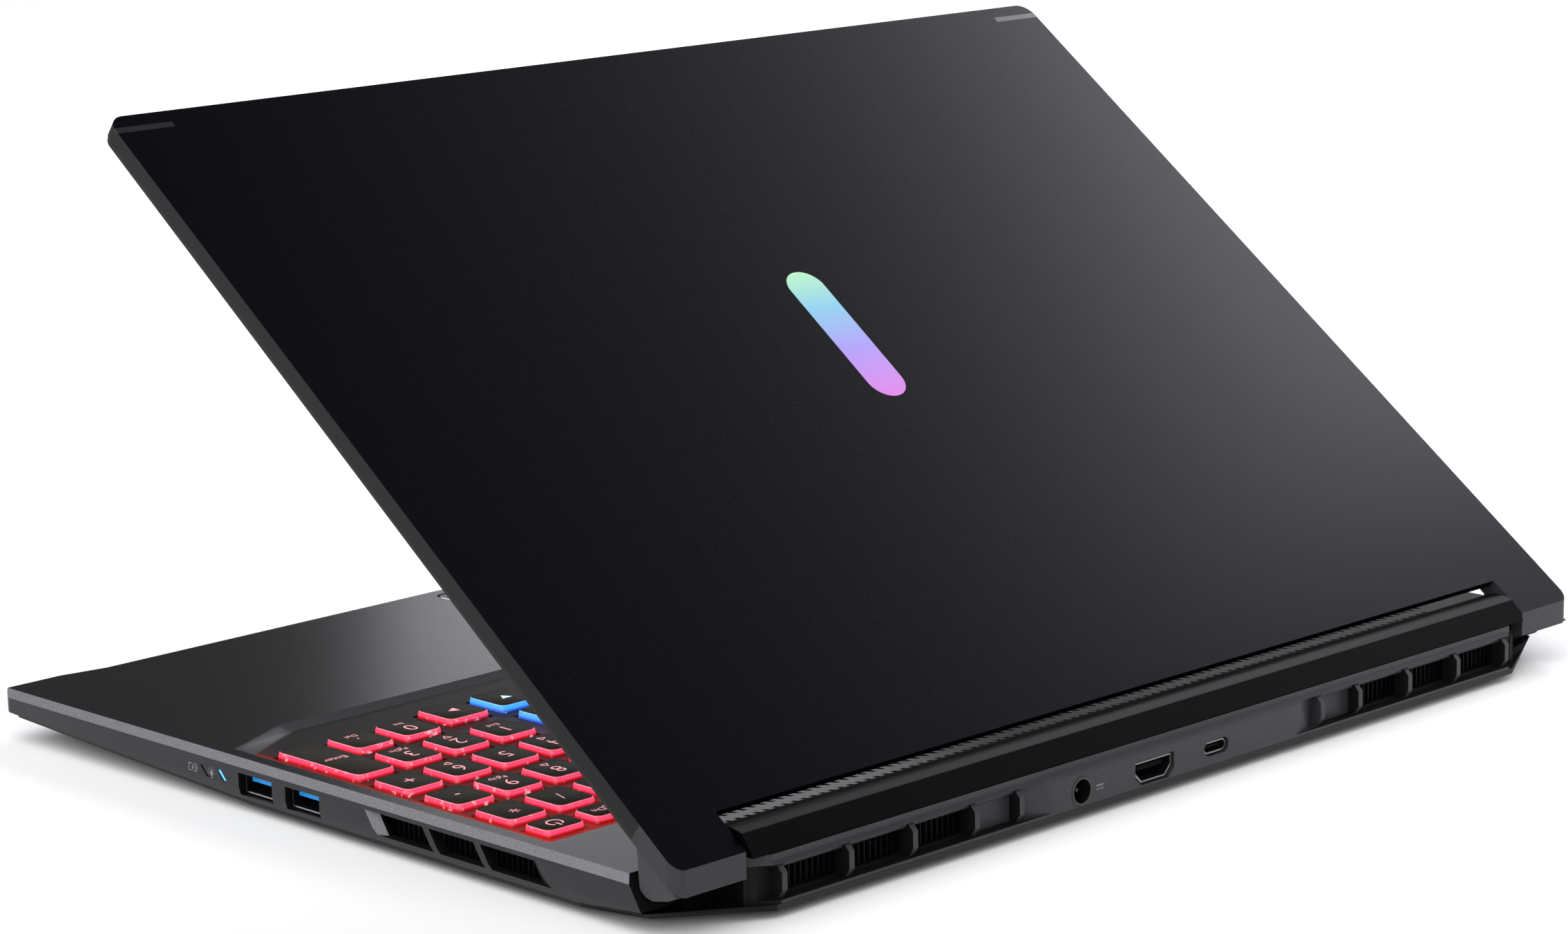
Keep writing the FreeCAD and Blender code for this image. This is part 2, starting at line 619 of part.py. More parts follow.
def fan_rotor(side):
    x = side * FAN_X
    z0, z1 = FAN_LOW + 1.1, FAN_HIGH - 1.1
    hub = rod_z(x, FAN_Y, z0, z1, 13.0).cut(rod_z(x, FAN_Y, z0 - 1, FAN_LOW + 3.6, 2.4))
    blades = []
    for i in range(BLADES):
        blade = box(x + 12.0, x + 34.0, FAN_Y - 0.35, FAN_Y + 0.35, z0 + 0.2, z1 - 0.2)
        blade.rotate(V(x + 12.0, FAN_Y, 0), V(0, 0, 1), side * 24.0)
        blade.rotate(V(x, FAN_Y, 0), V(0, 0, 1), i * 360.0 / BLADES)
        blades.append(blade)
    return hub.multiFuse(blades)


def comb(x0, x1, y0, y1, z0, z1, along_x):
    """Block of thin fins, open along one way and closed above and below."""
    block = box(x0, x1, y0, y1, z0, z1)
    start, stop = (y0, y1) if along_x else (x0, x1)
    slots = []
    place = start + FIN_THICK
    while place + FIN_PITCH - FIN_THICK < stop:
        end = place + FIN_PITCH - FIN_THICK
        if along_x:
            slots.append(box(x0 - 1, x1 + 1, place, end, z0 + 0.5, z1 - 0.5))
        else:
            slots.append(box(place, end, y0 - 1, y1 + 1, z0 + 0.5, z1 - 0.5))
        place += FIN_PITCH
    return cut_all(block, slots)


def fin_stacks():
    front = comb(78.0, 145.0, 113.0, 121.3, FAN_LOW, FAN_HIGH, False)
    back = comb(78.0, 145.0, 121.3, 132.6, FAN_LOW, 10.4, False)
    side = comb(150.0, 174.4, 24.0, 92.0, FAN_LOW, 7.9, True)
    return Part.makeCompound(both(front.fuse(back)) + both(side))


def cold_plate():
    base = box(-40.0, 40.0, 58.0, 110.0, BOARD_TOP, FAN_HIGH)
    trims = [box(-44.0, -26.0, 50.0, 70.0, 0, 20), box(26.0, 44.0, 50.0, 70.0, 0, 20)]
    return cut_all(base, trims)


def heat_pipes():
    z0, z1 = FAN_HIGH, FAN_HIGH + 2.0
    solids = []
    for start, row in ((12.0, 117.4), (24.0, 113.6)):
        run = box(start, 144.0, row, row + 3.2, z0, z1)
        leg = box(start, start + 3.2, 86.5, row + 1.0, z0, z1)
        solids += both(run.fuse(leg).removeSplitter())
    return Part.makeCompound(solids)


def memory_modules():
    solids = []
    for x in (-72.0, 4.0):
        module = box(x, x + 68.0, -42.0, -12.0, 5.4, 6.4)
        socket = box(x, x + 68.0, -14.0, -10.0, BOARD_TOP, 6.8)
        chips = [box(x + 5 + i * 15, x + 17 + i * 15, -36.0, -22.0, 6.4, 7.2) for i in range(4)]
        prop = box(x, x + 68.0, -42.0, -40.0, BOARD_TOP, 5.4)
        solids.append(fuse_all([module, socket, prop] + chips))
    return Part.makeCompound(solids)


def ssd_module():
    board = box(-150.0, -72.0, -8.0, 14.0, 5.4, 6.3)
    ends = [box(-152.0, -148.0, -8.0, 14.0, BOARD_TOP, 6.6), box(-76.0, -72.0, -3.0, 9.0, BOARD_TOP, 5.4)]
    chips = [box(-142.0 + i * 22, -126.0 + i * 22, -6.0, 12.0, 6.3, 7.2) for i in range(3)]
    return fuse_all([board] + ends + chips)


def wireless_card():
    board = box(100.0, 130.0, -20.0, 2.0, 5.2, 6.0)
    socket = box(128.0, 132.0, -20.0, 2.0, BOARD_TOP, 6.4)
    prop = box(100.0, 103.0, -12.0, -6.0, BOARD_TOP, 5.2)
    can = box(106.0, 124.0, -17.0, -1.0, 6.0, 7.2)
    return fuse_all([board, socket, prop, can])


def hinge_brackets():
    x0, x1 = 146.0, 152.4
    barrel = rod_x(x0, x1, HINGE_Y, HINGE_Z, 3.5)
    post = prism_x([(126.0, COVER_TOP), (132.6, COVER_TOP), (132.6, 14.0), (126.0, 14.0)], x0, x1)
    bracket = barrel.fuse(post).removeSplitter().cut(rod_x(x0 - 1, x1 + 1, HINGE_Y, HINGE_Z, PIN_R + PIN_CLEAR))
    return Part.makeCompound(both(bracket))


def rubber_feet():
    def foot(x0, x1, y0, y1):
        return prism_x([(y0, GROUND_Z), (y1, GROUND_Z), (y1, under(y1)), (y0, under(y0))], x0, x1)
    solids = [foot(-120.0, 120.0, 113.0, 122.0)] + both(foot(70.0, 130.0, -86.0, -76.0))
    rounded = []
    for solid in solids:
        rounded.append(solid.makeFillet(1.2, [e for e in solid.Edges if e.BoundBox.ZMax < GROUND_Z + 0.1]))
    return Part.makeCompound(rounded)


def bottom_screws():
    solids = []
    for x, y in SCREWS:
        z = under(y) + 0.2
        head = rod_z(x, y, z, z + 0.7, 2.4)
        shank = rod_z(x, y, z + 0.5, z + 4.0, 1.1)
        drive = rod_z(x, y, z - 1, z + 0.4, 0.8)
        solids += both(head.fuse(shank).cut(drive))
    return Part.makeCompound(solids)


# Keys and touchpad


def row_y(row):
    """Middle of a full-depth row, with row 0 nearest the user."""
    return FRONT_ROW_Y + row * ROW_PITCH


def pad_x(column):
    """Middle of a number pad column, with column 0 at the right edge."""
    return PAD_RIGHT_X - column * PAD_PITCH


def pad_key(column, row):
    return (pad_x(column), row_y(row), PAD_KEY, KEY_DEPTH)


def unit_row(widths, cy, depth):
    """Keys set side by side from the left edge, with widths in key units."""
    keys = []
    left = MAIN_LEFT - KEY_GAP / 2
    for units in widths:
        keys.append((left + units * UNIT / 2, cy, units * UNIT - KEY_GAP, depth))
        left += units * UNIT
    return keys


def arrow_key(column, dy=0.0):
    return (ARROW_RIGHT_X - column * ARROW_PITCH, ARROW_Y + dy, ARROW_W, ARROW_DEPTH)


def single_keys():
    """Keys with a node and a joint of their own."""
    half = ROW_PITCH / 2
    return {
        "numpad_enter_key": (pad_x(0), row_y(0) + half, PAD_KEY, KEY_DEPTH + ROW_PITCH),
        "plus_key": pad_key(0, 2),
        "minus_key": pad_key(0, 3),
        "multiply_key": pad_key(0, 4),
        "power_key": (pad_x(0), FUNCTION_Y, PAD_KEY, FUNCTION_DEPTH),
        "dot_key": pad_key(1, 0),
        "three_key": pad_key(1, 1),
        "six_key": pad_key(1, 2),
        "nine_key": pad_key(1, 3),
        "divide_key": pad_key(1, 4),
        "zero_key": pad_key(2, 0),
        "two_key": pad_key(2, 1),
        "five_key": pad_key(2, 2),
        "eight_key": pad_key(2, 3),
        "one_key": pad_key(3, 1),
        "right_arrow_key": arrow_key(0),
    }


def row_keys():
    """Keys that share one node for each row."""
    function_pad = [(pad_x(c), FUNCTION_Y, PAD_KEY, FUNCTION_DEPTH) for c in (1, 2, 3)]
    shift_left = MAIN_LEFT - KEY_GAP / 2 + 12.25 * UNIT + KEY_GAP / 2
    shift_right = ARROW_RIGHT_X - ARROW_PITCH - ARROW_W / 2 - KEY_GAP
    right_shift = ((shift_left + shift_right) / 2, row_y(1), shift_right - shift_left, KEY_DEPTH)
    bottom = [1.25, 1, 1, 1.25, 5.5, 1, 1.68]
    return {
        "function_row_keys": unit_row([1] * 15, FUNCTION_Y, FUNCTION_DEPTH) + function_pad,
        "number_row_keys": unit_row([1] * 13 + [2], row_y(4), KEY_DEPTH) + [pad_key(2, 4), pad_key(3, 4)],
        "upper_row_keys": unit_row([1.5] + [1] * 12 + [1.5], row_y(3), KEY_DEPTH) + [pad_key(3, 3)],
        "home_row_keys": unit_row([1.75] + [1] * 11 + [2.25], row_y(2), KEY_DEPTH) + [pad_key(3, 2)],
        "lower_row_keys": unit_row([2.25] + [1] * 10, row_y(1), KEY_DEPTH)
        + [right_shift, arrow_key(1, ROW_PITCH + 0.5)],
        "bottom_row_keys": unit_row(bottom, row_y(0), KEY_DEPTH) + [arrow_key(1), arrow_key(2)],
    }


def all_keys():
    keys = list(single_keys().values())
    for row in row_keys().values():
        keys += row
    return keys


def key_cap(cx, cy, w, d):
    """Hollow cap, a little wider at its skirt than at its top face."""
    low = rounded_wire(cx, cy, w + KEY_FLARE, d + KEY_FLARE, KEY_CORNER, KEY_SKIRT_Z)
    high = rounded_wire(cx, cy, w, d, KEY_CORNER, KEY_TOP_Z)
    skin = 2.4
    hollow = box(cx - (w - skin) / 2, cx + (w - skin) / 2, cy - (d - skin) / 2, cy + (d - skin) / 2,
                 KEY_SKIRT_Z - 1, KEY_CEILING_Z)
    return Part.makeLoft([low, high], True, True).cut(hollow)


def touchpad():
    pad = rounded_plate(TOUCH_X, TOUCH_Y, TOUCH_W, TOUCH_D, 3.0, CEILING_Z + 1.6, DECK_Z - 0.1)
    rim = [e for e in pad.Edges if e.BoundBox.ZMin > DECK_Z - 0.2]
    return pad.makeChamfer(0.3, rim)


# Lid, drawn closed


def ear_arm():
    """Steel arm and pin of the right hinge."""
    x0, x1 = 158.0, 170.0
    plate_low, plate_high = 15.9, 17.5
    section = [(99.0, plate_low), (99.0, plate_high), (126.0, plate_high), (131.8, 16.2), (131.8, 12.6),
               (127.4, 12.6), (123.5, plate_low)]
    arm = prism_x(section, x0, x1)
    barrel = rod_x(157.2, 171.0, HINGE_Y, HINGE_Z, 3.6)
    pin = rod_x(146.6, 158.0, HINGE_Y, HINGE_Z, PIN_R)
    return fuse_all([arm, barrel, pin])


def hinge_cap():
    """Block under the right ear that holds the hinge and swings in the corner pocket."""
    points = [(120.3, BEZEL_FACE), (120.3, EAR_FLOOR), (137.0, EAR_FLOOR), (135.4, 11.6), (131.9, 7.6),
              (129.6, 6.4), (127.4, 6.4), (126.4, 7.0)]
    block = prism_x(points, NOTCH_HALF + 0.3, LID_HALF - 0.4)
    return block.cut(ear_arm())


def lid_outline():
    notch_y = LID_REAR - NOTCH_DEPTH
    return [(LID_HALF, LID_FRONT), (LID_HALF, LID_REAR), (NOTCH_HALF, LID_REAR), (NOTCH_HALF, notch_y),
            (-NOTCH_HALF, notch_y), (-NOTCH_HALF, LID_REAR), (-LID_HALF, LID_REAR), (-LID_HALF, LID_FRONT)]


def strip_block(z0, z1):
    """Strip let into the lid near its right top corner."""
    y = LID_REAR - 263.0
    return box(160.0, LID_HALF, y, y + 2.0, z0, z1)


def inlay_block(z0, z1):
    return rounded_plate(0.0, -15.6, 13.0, 50.0, 6.4, z0, z1)


def lid_cover():
    shell = plate(lid_outline(), COVER_EDGE, LID_TOP)
    tip = [(-LID_HALF, LID_FRONT), (LID_HALF, LID_FRONT)]
    shell = shell.makeFillet(5.0, upright_edges(shell, tip))
    ear_end = [(118.0, LID_TOP), (LID_REAR, LID_TOP), (137.5, EAR_FLOOR), (118.0, EAR_FLOOR)]
    ear = prism_x(ear_end, NOTCH_HALF, LID_HALF)
    slanted = [e for e in ear.Edges if abs(e.CenterOfMass.x - LID_HALF) < 0.01 and 134.0 < e.CenterOfMass.y < 137.0]
    ear = ear.makeFillet(3.4, slanted)
    # The square corner of the plate goes, so that the rounded ear shows
    shell = cut_all(shell, both(box(NOTCH_HALF - 0.1, LID_HALF + 1, 119.0, 140.0, 0, 30)))
    shell = shell.multiFuse(both(ear))
    inner_x, inner_front, inner_rear = LID_HALF - 1.6, LID_FRONT + 1.6, 111.0
    notch_y = LID_REAR - NOTCH_DEPTH
    bevel = [(inner_rear, COVER_EDGE), (notch_y, LID_TOP - NOTCH_EDGE), (notch_y + 1, LID_TOP - NOTCH_EDGE),
             (notch_y + 1, 10), (inner_rear, 10)]
    tools = [box(-inner_x, inner_x, inner_front, inner_rear, 0, LID_TOP - LID_SKIN),
             prism_x(bevel, -NOTCH_HALF, NOTCH_HALF), inlay_block(LID_TOP - 0.3, LID_TOP + 1)]
    tools += both(strip_block(LID_TOP - 0.4, LID_TOP + 1)) + both(ear_arm())
    return cut_all(shell, tools)


def screen_bezel():
    edge = LID_HALF - 0.3
    rear, ear_rear = 112.0, 117.8
    outline = [(edge, LID_FRONT + 0.3), (edge, ear_rear), (NOTCH_HALF, ear_rear), (NOTCH_HALF, rear),
               (-NOTCH_HALF, rear), (-NOTCH_HALF, ear_rear), (-edge, ear_rear), (-edge, LID_FRONT + 0.3)]
    frame = plate(outline, BEZEL_FACE, BEZEL_BACK)
    tip = [(-edge, LID_FRONT + 0.3), (edge, LID_FRONT + 0.3)]
    frame = frame.makeFillet(4.8, upright_edges(frame, tip))
    rim_x, rim_front, rim_rear = LID_HALF - 1.6, LID_FRONT + 1.6, 110.8
    ring = box(-rim_x, rim_x, rim_front, rim_rear, BEZEL_BACK, BEZEL_BACK + 1.6)
    ring = ring.cut(box(-rim_x + 1.2, rim_x - 1.2, rim_front + 1.2, rim_rear - 1.2, 0, 30))
    ring = cut_all(ring, both(box(157.0, 171.5, 98.0, 125.0, 0, 30)))
    window = box(-SCREEN_W / 2, SCREEN_W / 2, SCREEN_LOW_Y - SCREEN_H, SCREEN_LOW_Y, 0, 30)
    bevel = prism_x([(108.6, BEZEL_FACE), (112.1, BEZEL_BACK), (112.1, 10), (108.6, 10)], -NOTCH_HALF, NOTCH_HALF)
    lens = rod_z(0, WEBCAM_Y, 0, 30, 1.9)
    return cut_all(frame.fuse(ring), [window, bevel, lens])


def display_panel():
    return box(-175.4, 175.4, -127.3, 96.0, BEZEL_BACK, BEZEL_BACK + 2.4)


def webcam_module():
    board = box(-22.0, 22.0, WEBCAM_Y - 1.6, WEBCAM_Y + 1.6, BEZEL_BACK, BEZEL_BACK + 1.6)
    barrel = rod_z(0, WEBCAM_Y, BEZEL_FACE + 0.2, BEZEL_BACK, 1.7)
    return board.fuse(barrel)


def lid_bumpers():
    pads = []
    for x, y in ((150.0, -128.6), (112.0, -128.6), (165.0, 104.0)):
        pads += both(rounded_plate(x, y, 12.0, 4.0, 1.9, DECK_Z + 0.2, BEZEL_FACE))
    return Part.makeCompound(pads)


def lid_pieces():
    arm = ear_arm()
    cap = hinge_cap()
    return {
        "lid_cover": lid_cover(),
        "screen_bezel": screen_bezel(),
        "display_panel": display_panel(),
        "webcam_module": webcam_module(),
        "lid_bumpers": lid_bumpers(),
        "lid_inlay": inlay_block(LID_TOP - 0.3, LID_TOP + 0.05),
        "lid_strips": Part.makeCompound(both(strip_block(LID_TOP - 0.4, LID_TOP))),
        "hinge_arms": Part.makeCompound(both(arm)),
        "hinge_caps": Part.makeCompound(both(cap)),
    }


def base_pieces():
    return {
        "bottom_cover": bottom_cover(),
        "top_case": top_case(),
        "hinge_bar": hinge_bar(),
        "rear_panel": rear_panel(),
        "video_port": video_port(),
        "type_c_port": type_c_port(),
        "dc_jack": dc_jack(),
        "type_a_ports": type_a_ports(),
        "audio_jack": audio_jack(),
        "network_port": network_port(),
        "status_lights": status_lights(),
        "keyboard_plate": keyboard_plate(),
        "mainboard": mainboard(),
        "battery_pack": battery_pack(),
        "speakers": speakers(),
        "fan_housing_left": fan_housing(-1),
        "fan_housing_right": fan_housing(1),
        "fan_rotor_left": fan_rotor(-1),
        "fan_rotor_right": fan_rotor(1),
        "fin_stacks": fin_stacks(),
        "cold_plate": cold_plate(),
        "heat_pipes": heat_pipes(),
        "memory_modules": memory_modules(),
        "ssd_module": ssd_module(),
        "wireless_card": wireless_card(),
        "hinge_brackets": hinge_brackets(),
        "rubber_feet": rubber_feet(),
        "bottom_screws": bottom_screws(),
        "touchpad": touchpad(),
    }


def key_pieces():
    pieces = {name: key_cap(*key) for name, key in single_keys().items()}
    for name, keys in row_keys().items():
        pieces[name] = Part.makeCompound([key_cap(*key) for key in keys])
    return pieces


def main():
    os.makedirs("parts", exist_ok=True)
    pieces = base_pieces()
    pieces.update(key_pieces())
    for name, shape in lid_pieces().items():
        shape.rotate(V(0, HINGE_Y, HINGE_Z), V(1, 0, 0), -LID_OPEN)
        pieces[name] = shape
    middle = (FRONT_Y + REAR_Y) / 2
    for name, shape in pieces.items():
        shape.translate(V(0, -middle, -GROUND_Z))
        print(name, len(shape.Solids), round(shape.Volume / 1000, 2), "cm3", shape.isValid())
        shape.exportStep("parts/" + name + ".step")
    print(len(pieces), "nodes")


main()
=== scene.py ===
import bmesh
import bpy
import math
from mathutils import Matrix, Vector
from mathutils.bvhtree import BVHTree

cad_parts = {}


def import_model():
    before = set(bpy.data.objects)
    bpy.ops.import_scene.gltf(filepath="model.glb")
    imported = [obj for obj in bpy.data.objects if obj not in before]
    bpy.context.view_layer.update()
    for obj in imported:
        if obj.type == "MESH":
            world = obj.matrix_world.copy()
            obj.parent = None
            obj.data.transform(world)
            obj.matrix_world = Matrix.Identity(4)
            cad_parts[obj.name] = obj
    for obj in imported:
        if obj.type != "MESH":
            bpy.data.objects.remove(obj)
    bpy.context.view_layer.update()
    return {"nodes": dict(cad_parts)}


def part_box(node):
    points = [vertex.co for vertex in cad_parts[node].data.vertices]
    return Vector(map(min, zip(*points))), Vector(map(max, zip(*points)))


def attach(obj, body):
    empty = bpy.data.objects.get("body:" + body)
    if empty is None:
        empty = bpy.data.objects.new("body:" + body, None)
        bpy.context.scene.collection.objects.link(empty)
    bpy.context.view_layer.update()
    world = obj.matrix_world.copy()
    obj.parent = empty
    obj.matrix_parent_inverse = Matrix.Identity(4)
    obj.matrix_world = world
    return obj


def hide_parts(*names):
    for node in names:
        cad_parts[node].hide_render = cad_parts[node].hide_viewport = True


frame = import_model()
nodes = frame["nodes"]

# Driving values, in millimetres unless named otherwise
MM = 0.001
PHOTO_W = 2269
FOCAL_PX = 6048.7
CAMERA_PLACE = (812.9, 828.8, 312.7)
CAMERA_YAW, CAMERA_PITCH, CAMERA_ROLL = -134.199, 11.899, -1.211
SENSOR_MM = 36.0

DECK_Z = 14.7
WELL_Z = 13.2
WELL_RIGHT, WELL_REAR = 174.2, 87.4

KEY_FLARE = 0.8
KEY_CORNER = 2.2
KEY_WALL, KEY_INNER_CORNER, KEY_ROOF = 1.2, 1.0, 0.8
LEGEND_LIFT = 0.02
LEGEND_THICK = 0.03

# Studio: where the dome is bright, and how bright it is there
BRIGHT_SIDE = (0.62, 0.30, 0.72)
DOME_STOPS = ((0.0, 0.04), (0.4, 0.04), (0.66, 0.55), (0.88, 1.0))
DOME_LEVEL = 2.0
COOL_WHITE = (0.94, 0.95, 1.0)
BLUE_SHEEN = (0.84, 0.86, 1.0, 1.0)

# Small helpers


def srgb(r, g, b):
    """Linear colour of an sRGB colour given from 0 to 255."""
    def line(c):
        c /= 255.0
        return c / 12.92 if c <= 0.04045 else ((c + 0.055) / 1.055) ** 2.4
    return (line(r), line(g), line(b), 1.0)


def mesh_piece(name, verts, faces, body, materials, face_slots=None):
    """New mesh object, with points in millimetres in the frame, riding on a body."""
    mesh = bpy.data.meshes.new(name)
    mesh.from_pydata([Vector(v) * MM for v in verts], [], faces)
    for mat in materials:
        mesh.materials.append(mat)
    if face_slots:
        mesh.polygons.foreach_set("material_index", face_slots)
    mesh.update()
    return add_piece(name, mesh, body)


def add_piece(name, mesh, body):
    """Puts a mesh into the scene, riding on a body."""
    piece = bpy.data.objects.new(name, mesh)
    bpy.context.scene.collection.objects.link(piece)
    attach(piece, body)
    return piece


def islands(node):
    """Boxes of a node's separate solids, as (low corner, high corner) in millimetres."""
    bm = bmesh.new()
    bm.from_mesh(nodes[node].data)
    bmesh.ops.remove_doubles(bm, verts=bm.verts, dist=1e-6)
    left = set(bm.verts)
    boxes = []
    while left:
        stack = [left.pop()]
        points = []
        while stack:
            vert = stack.pop()
            points.append(vert.co / MM)
            for edge in vert.link_edges:
                other = edge.other_vert(vert)
                if other in left:
                    left.remove(other)
                    stack.append(other)
        low = Vector(min(p[i] for p in points) for i in range(3))
        high = Vector(max(p[i] for p in points) for i in range(3))
        boxes.append((low, high))
    bm.free()
    return boxes


def rounded_loop(cx, cy, w, d, r, z, steps=5):
    """Points of a rectangle with round corners, anticlockwise."""
    points = []
    for sx, sy, turn in ((1, 1, 0), (-1, 1, 90), (-1, -1, 180), (1, -1, 270)):
        for i in range(steps + 1):
            a = math.radians(turn + 90 * i / steps)
            x = cx + sx * (w / 2 - r) + r * math.cos(a)
            y = cy + sy * (d / 2 - r) + r * math.sin(a)
            points.append((x, y, z))
    return points


def band(start_a, start_b, count):
    """Faces between two rings of equal length."""
    faces = []
    for i in range(count):
        after = (i + 1) % count
        faces.append((start_a + i, start_a + after, start_b + after, start_b + i))
    return faces


# Materials


class Look:
    """A node material with one principled shader, and short ways to add detail to it."""

    def __init__(self, name, color, rough, metal=0.0, spec=0.5):
        self.mat = bpy.data.materials.new(name)
        self.mat.use_nodes = True
        self.tree = self.mat.node_tree
        self.shader = self.tree.nodes["Principled BSDF"]
        self.shader.inputs["Base Color"].default_value = color
        self.shader.inputs["Roughness"].default_value = rough
        self.shader.inputs["Metallic"].default_value = metal
        self.shader.inputs["Specular IOR Level"].default_value = spec
        self.coords = self.tree.nodes.new("ShaderNodeTexCoord").outputs["Object"]

    def node(self, kind, **values):
        made = self.tree.nodes.new(kind)
        for key, value in values.items():
            setattr(made, key, value)
        return made

    def link(self, a, b):
        self.tree.links.new(a, b)

    def noise(self, per_mm, detail=2.0, stretch=(1, 1, 1)):
        """Noise with about that many features per millimetre."""
        mapping = self.node("ShaderNodeMapping")
        mapping.inputs["Scale"].default_value = stretch
        self.link(self.coords, mapping.inputs["Vector"])
        tex = self.node("ShaderNodeTexNoise")
        tex.inputs["Scale"].default_value = per_mm / MM
        tex.inputs["Detail"].default_value = detail
        self.link(mapping.outputs["Vector"], tex.inputs["Vector"])
        return tex.outputs["Fac"]

    def ramp(self, source, stops):
        ramp = self.node("ShaderNodeValToRGB")
        elements = ramp.color_ramp.elements
        while len(elements) < len(stops):
            elements.new(0.5)
        for element, (place, color) in zip(elements, stops):
            element.position = place
            element.color = color if len(color) == 4 else (*color, 1.0)
        self.link(source, ramp.inputs["Fac"])
        return ramp.outputs["Color"]

    def axis(self, index, low, high):
        """Position along one axis, from 0 at low to 1 at high, in millimetres."""
        split = self.node("ShaderNodeSeparateXYZ")
        self.link(self.coords, split.inputs["Vector"])
        fit = self.node("ShaderNodeMapRange")
        fit.inputs["From Min"].default_value = low * MM
        fit.inputs["From Max"].default_value = high * MM
        self.link(split.outputs[index], fit.inputs["Value"])
        return fit.outputs["Result"]

    def color_from(self, source, dark, light):
        self.link(self.ramp(source, [(0.3, dark), (0.7, light)]), self.shader.inputs["Base Color"])

    def rough_from(self, source, low, high):
        fit = self.node("ShaderNodeMapRange")
        fit.inputs["To Min"].default_value = low
        fit.inputs["To Max"].default_value = high
        self.link(source, fit.inputs["Value"])
        self.link(fit.outputs["Result"], self.shader.inputs["Roughness"])

    def bump_from(self, source, depth, strength=0.6):
        bump = self.node("ShaderNodeBump")
        bump.inputs["Strength"].default_value = strength
        bump.inputs["Distance"].default_value = depth * MM
        self.link(source, bump.inputs["Height"])
        self.link(bump.outputs["Normal"], self.shader.inputs["Normal"])

    def glow(self, color, strength):
        self.shader.inputs["Emission Strength"].default_value = strength
        if hasattr(color, "links"):
            self.link(color, self.shader.inputs["Emission Color"])
        else:
            self.shader.inputs["Emission Color"].default_value = color


def grainy(name, dark, light, rough, spec, metal=0.0, grain=4.0, depth=0.012, spread=0.06):
    """Surface with a fine grain in its colour, gloss and height."""
    look = Look(name, dark, rough, metal, spec)
    fine = look.noise(grain, 2.0)
    look.color_from(fine, dark, light)
    look.rough_from(look.noise(grain * 0.6, 1.0), rough - spread, rough + spread)
    look.bump_from(fine, depth)
    return look.mat


def plain(name, color, rough, metal=0.0, spec=0.5, cloud=0.06):
    """Surface with faint cloudy changes in its gloss."""
    look = Look(name, color, rough, metal, spec)
    look.rough_from(look.noise(0.15, 3.0), max(0.02, rough - cloud), rough + cloud)
    return look.mat


def brushed(name, color, rough, along=(0.02, 1, 1)):
    """Metal with fine lines along one axis."""
    look = Look(name, color, rough, 1.0)
    lines = look.noise(6.0, 2.0, along)
    look.rough_from(lines, rough - 0.08, rough + 0.1)
    look.bump_from(lines, 0.004)
    return look.mat


def glowing(name, color, strength):
    """Surface of one colour that also gives off light."""
    look = Look(name, color, 0.4, 0.0, 0.3)
    look.glow(color, strength)
    return look.mat


def key_side_look(name, deep, bright, rim, hot):
    """Clear key side lit from below: painted shade at the foot, deep above it, bright at the rim, with hot
    spots.
    """
    look = Look(name, bright, 0.25, 0.0, 0.5)
    height = look.axis(2, WELL_Z - 0.3, DECK_Z + 0.3)
    # The foot, a fifth of the deep colour, is painted shade in the gap above the well floor
    foot = tuple(0.2 * value for value in deep[:3])
    body = look.ramp(height, [(0.1, foot), (0.32, deep), (0.55, bright), (0.86, bright), (0.95, rim)])
    spots = look.ramp(look.noise(0.5, 1.0), [(0.64, (0, 0, 0)), (0.80, (1, 1, 1))])
    mix = look.node("ShaderNodeMix", data_type="RGBA")
    look.link(spots, mix.inputs["Factor"])
    look.link(body, mix.inputs["A"])
    mix.inputs["B"].default_value = hot
    look.glow(mix.outputs["Result"], 1.0)
    look.shader.inputs["Base Color"].default_value = deep
    return look.mat


def well_floor_look():
    """Key well floor, with light from the keys that grows towards the back and the right edge."""
    look = Look("well_floor", srgb(15, 14, 14), 0.5, 0.0, 0.2)
    fine = look.noise(4.0, 2.0)
    look.bump_from(fine, 0.01)
    dark = (0.0, 0.0, 0.0)
    to_back = [(0.0, dark), (0.25, (0.010, 0.001, 0.001)), (0.85, (0.13, 0.010, 0.005)),
               (1.0, (0.30, 0.016, 0.010))]
    to_right = [(0.0, dark), (0.7, (0.03, 0.002, 0.001)), (0.92, (0.30, 0.010, 0.008)),
                (1.0, (0.75, 0.03, 0.02))]
    spread = look.ramp(look.axis(1, -40.0, 82.0), to_back)
    edge = look.ramp(look.axis(0, 163.0, 172.0), to_right)
    both = look.node("ShaderNodeMix", data_type="RGBA", blend_type="ADD")
    both.inputs["Factor"].default_value = 1.0
    look.link(spread, both.inputs["A"])
    look.link(edge, both.inputs["B"])
    look.glow(both.outputs["Result"], 1.0)
    return look.mat


def inlay_look():
    """Pastel film whose colour runs along the inlay."""
    look = Look("inlay_film", srgb(180, 200, 240), 0.3, 0.0, 0.5)
    low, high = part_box("lid_inlay")
    place = look.axis(2, low[2] / MM, high[2] / MM)
    pink, violet = srgb(208, 116, 214), srgb(158, 142, 228)
    blue, green = srgb(126, 190, 218), srgb(172, 226, 180)
    film = look.ramp(place, [(0.0, pink), (0.4, violet), (0.72, blue), (1.0, green)])
    look.link(film, look.shader.inputs["Base Color"])
    return look.mat


def lid_look():
    """Black lid with a fine grain and a faint blue sheen."""
    mat = grainy("lid_black", srgb(1, 1, 4), srgb(3, 3, 8), 0.25, 0.085, grain=5.0)
    mat.node_tree.nodes["Principled BSDF"].inputs["Specular Tint"].default_value = BLUE_SHEEN
    return mat


def screen_look():
    """Dark screen with a faint matt grain."""
    look = Look("screen_off", srgb(9, 9, 11), 0.22, 0.0, 0.5)
    look.bump_from(look.noise(8.0, 1.0), 0.002)
    look.rough_from(look.noise(0.05, 2.0), 0.2, 0.26)
    return look.mat


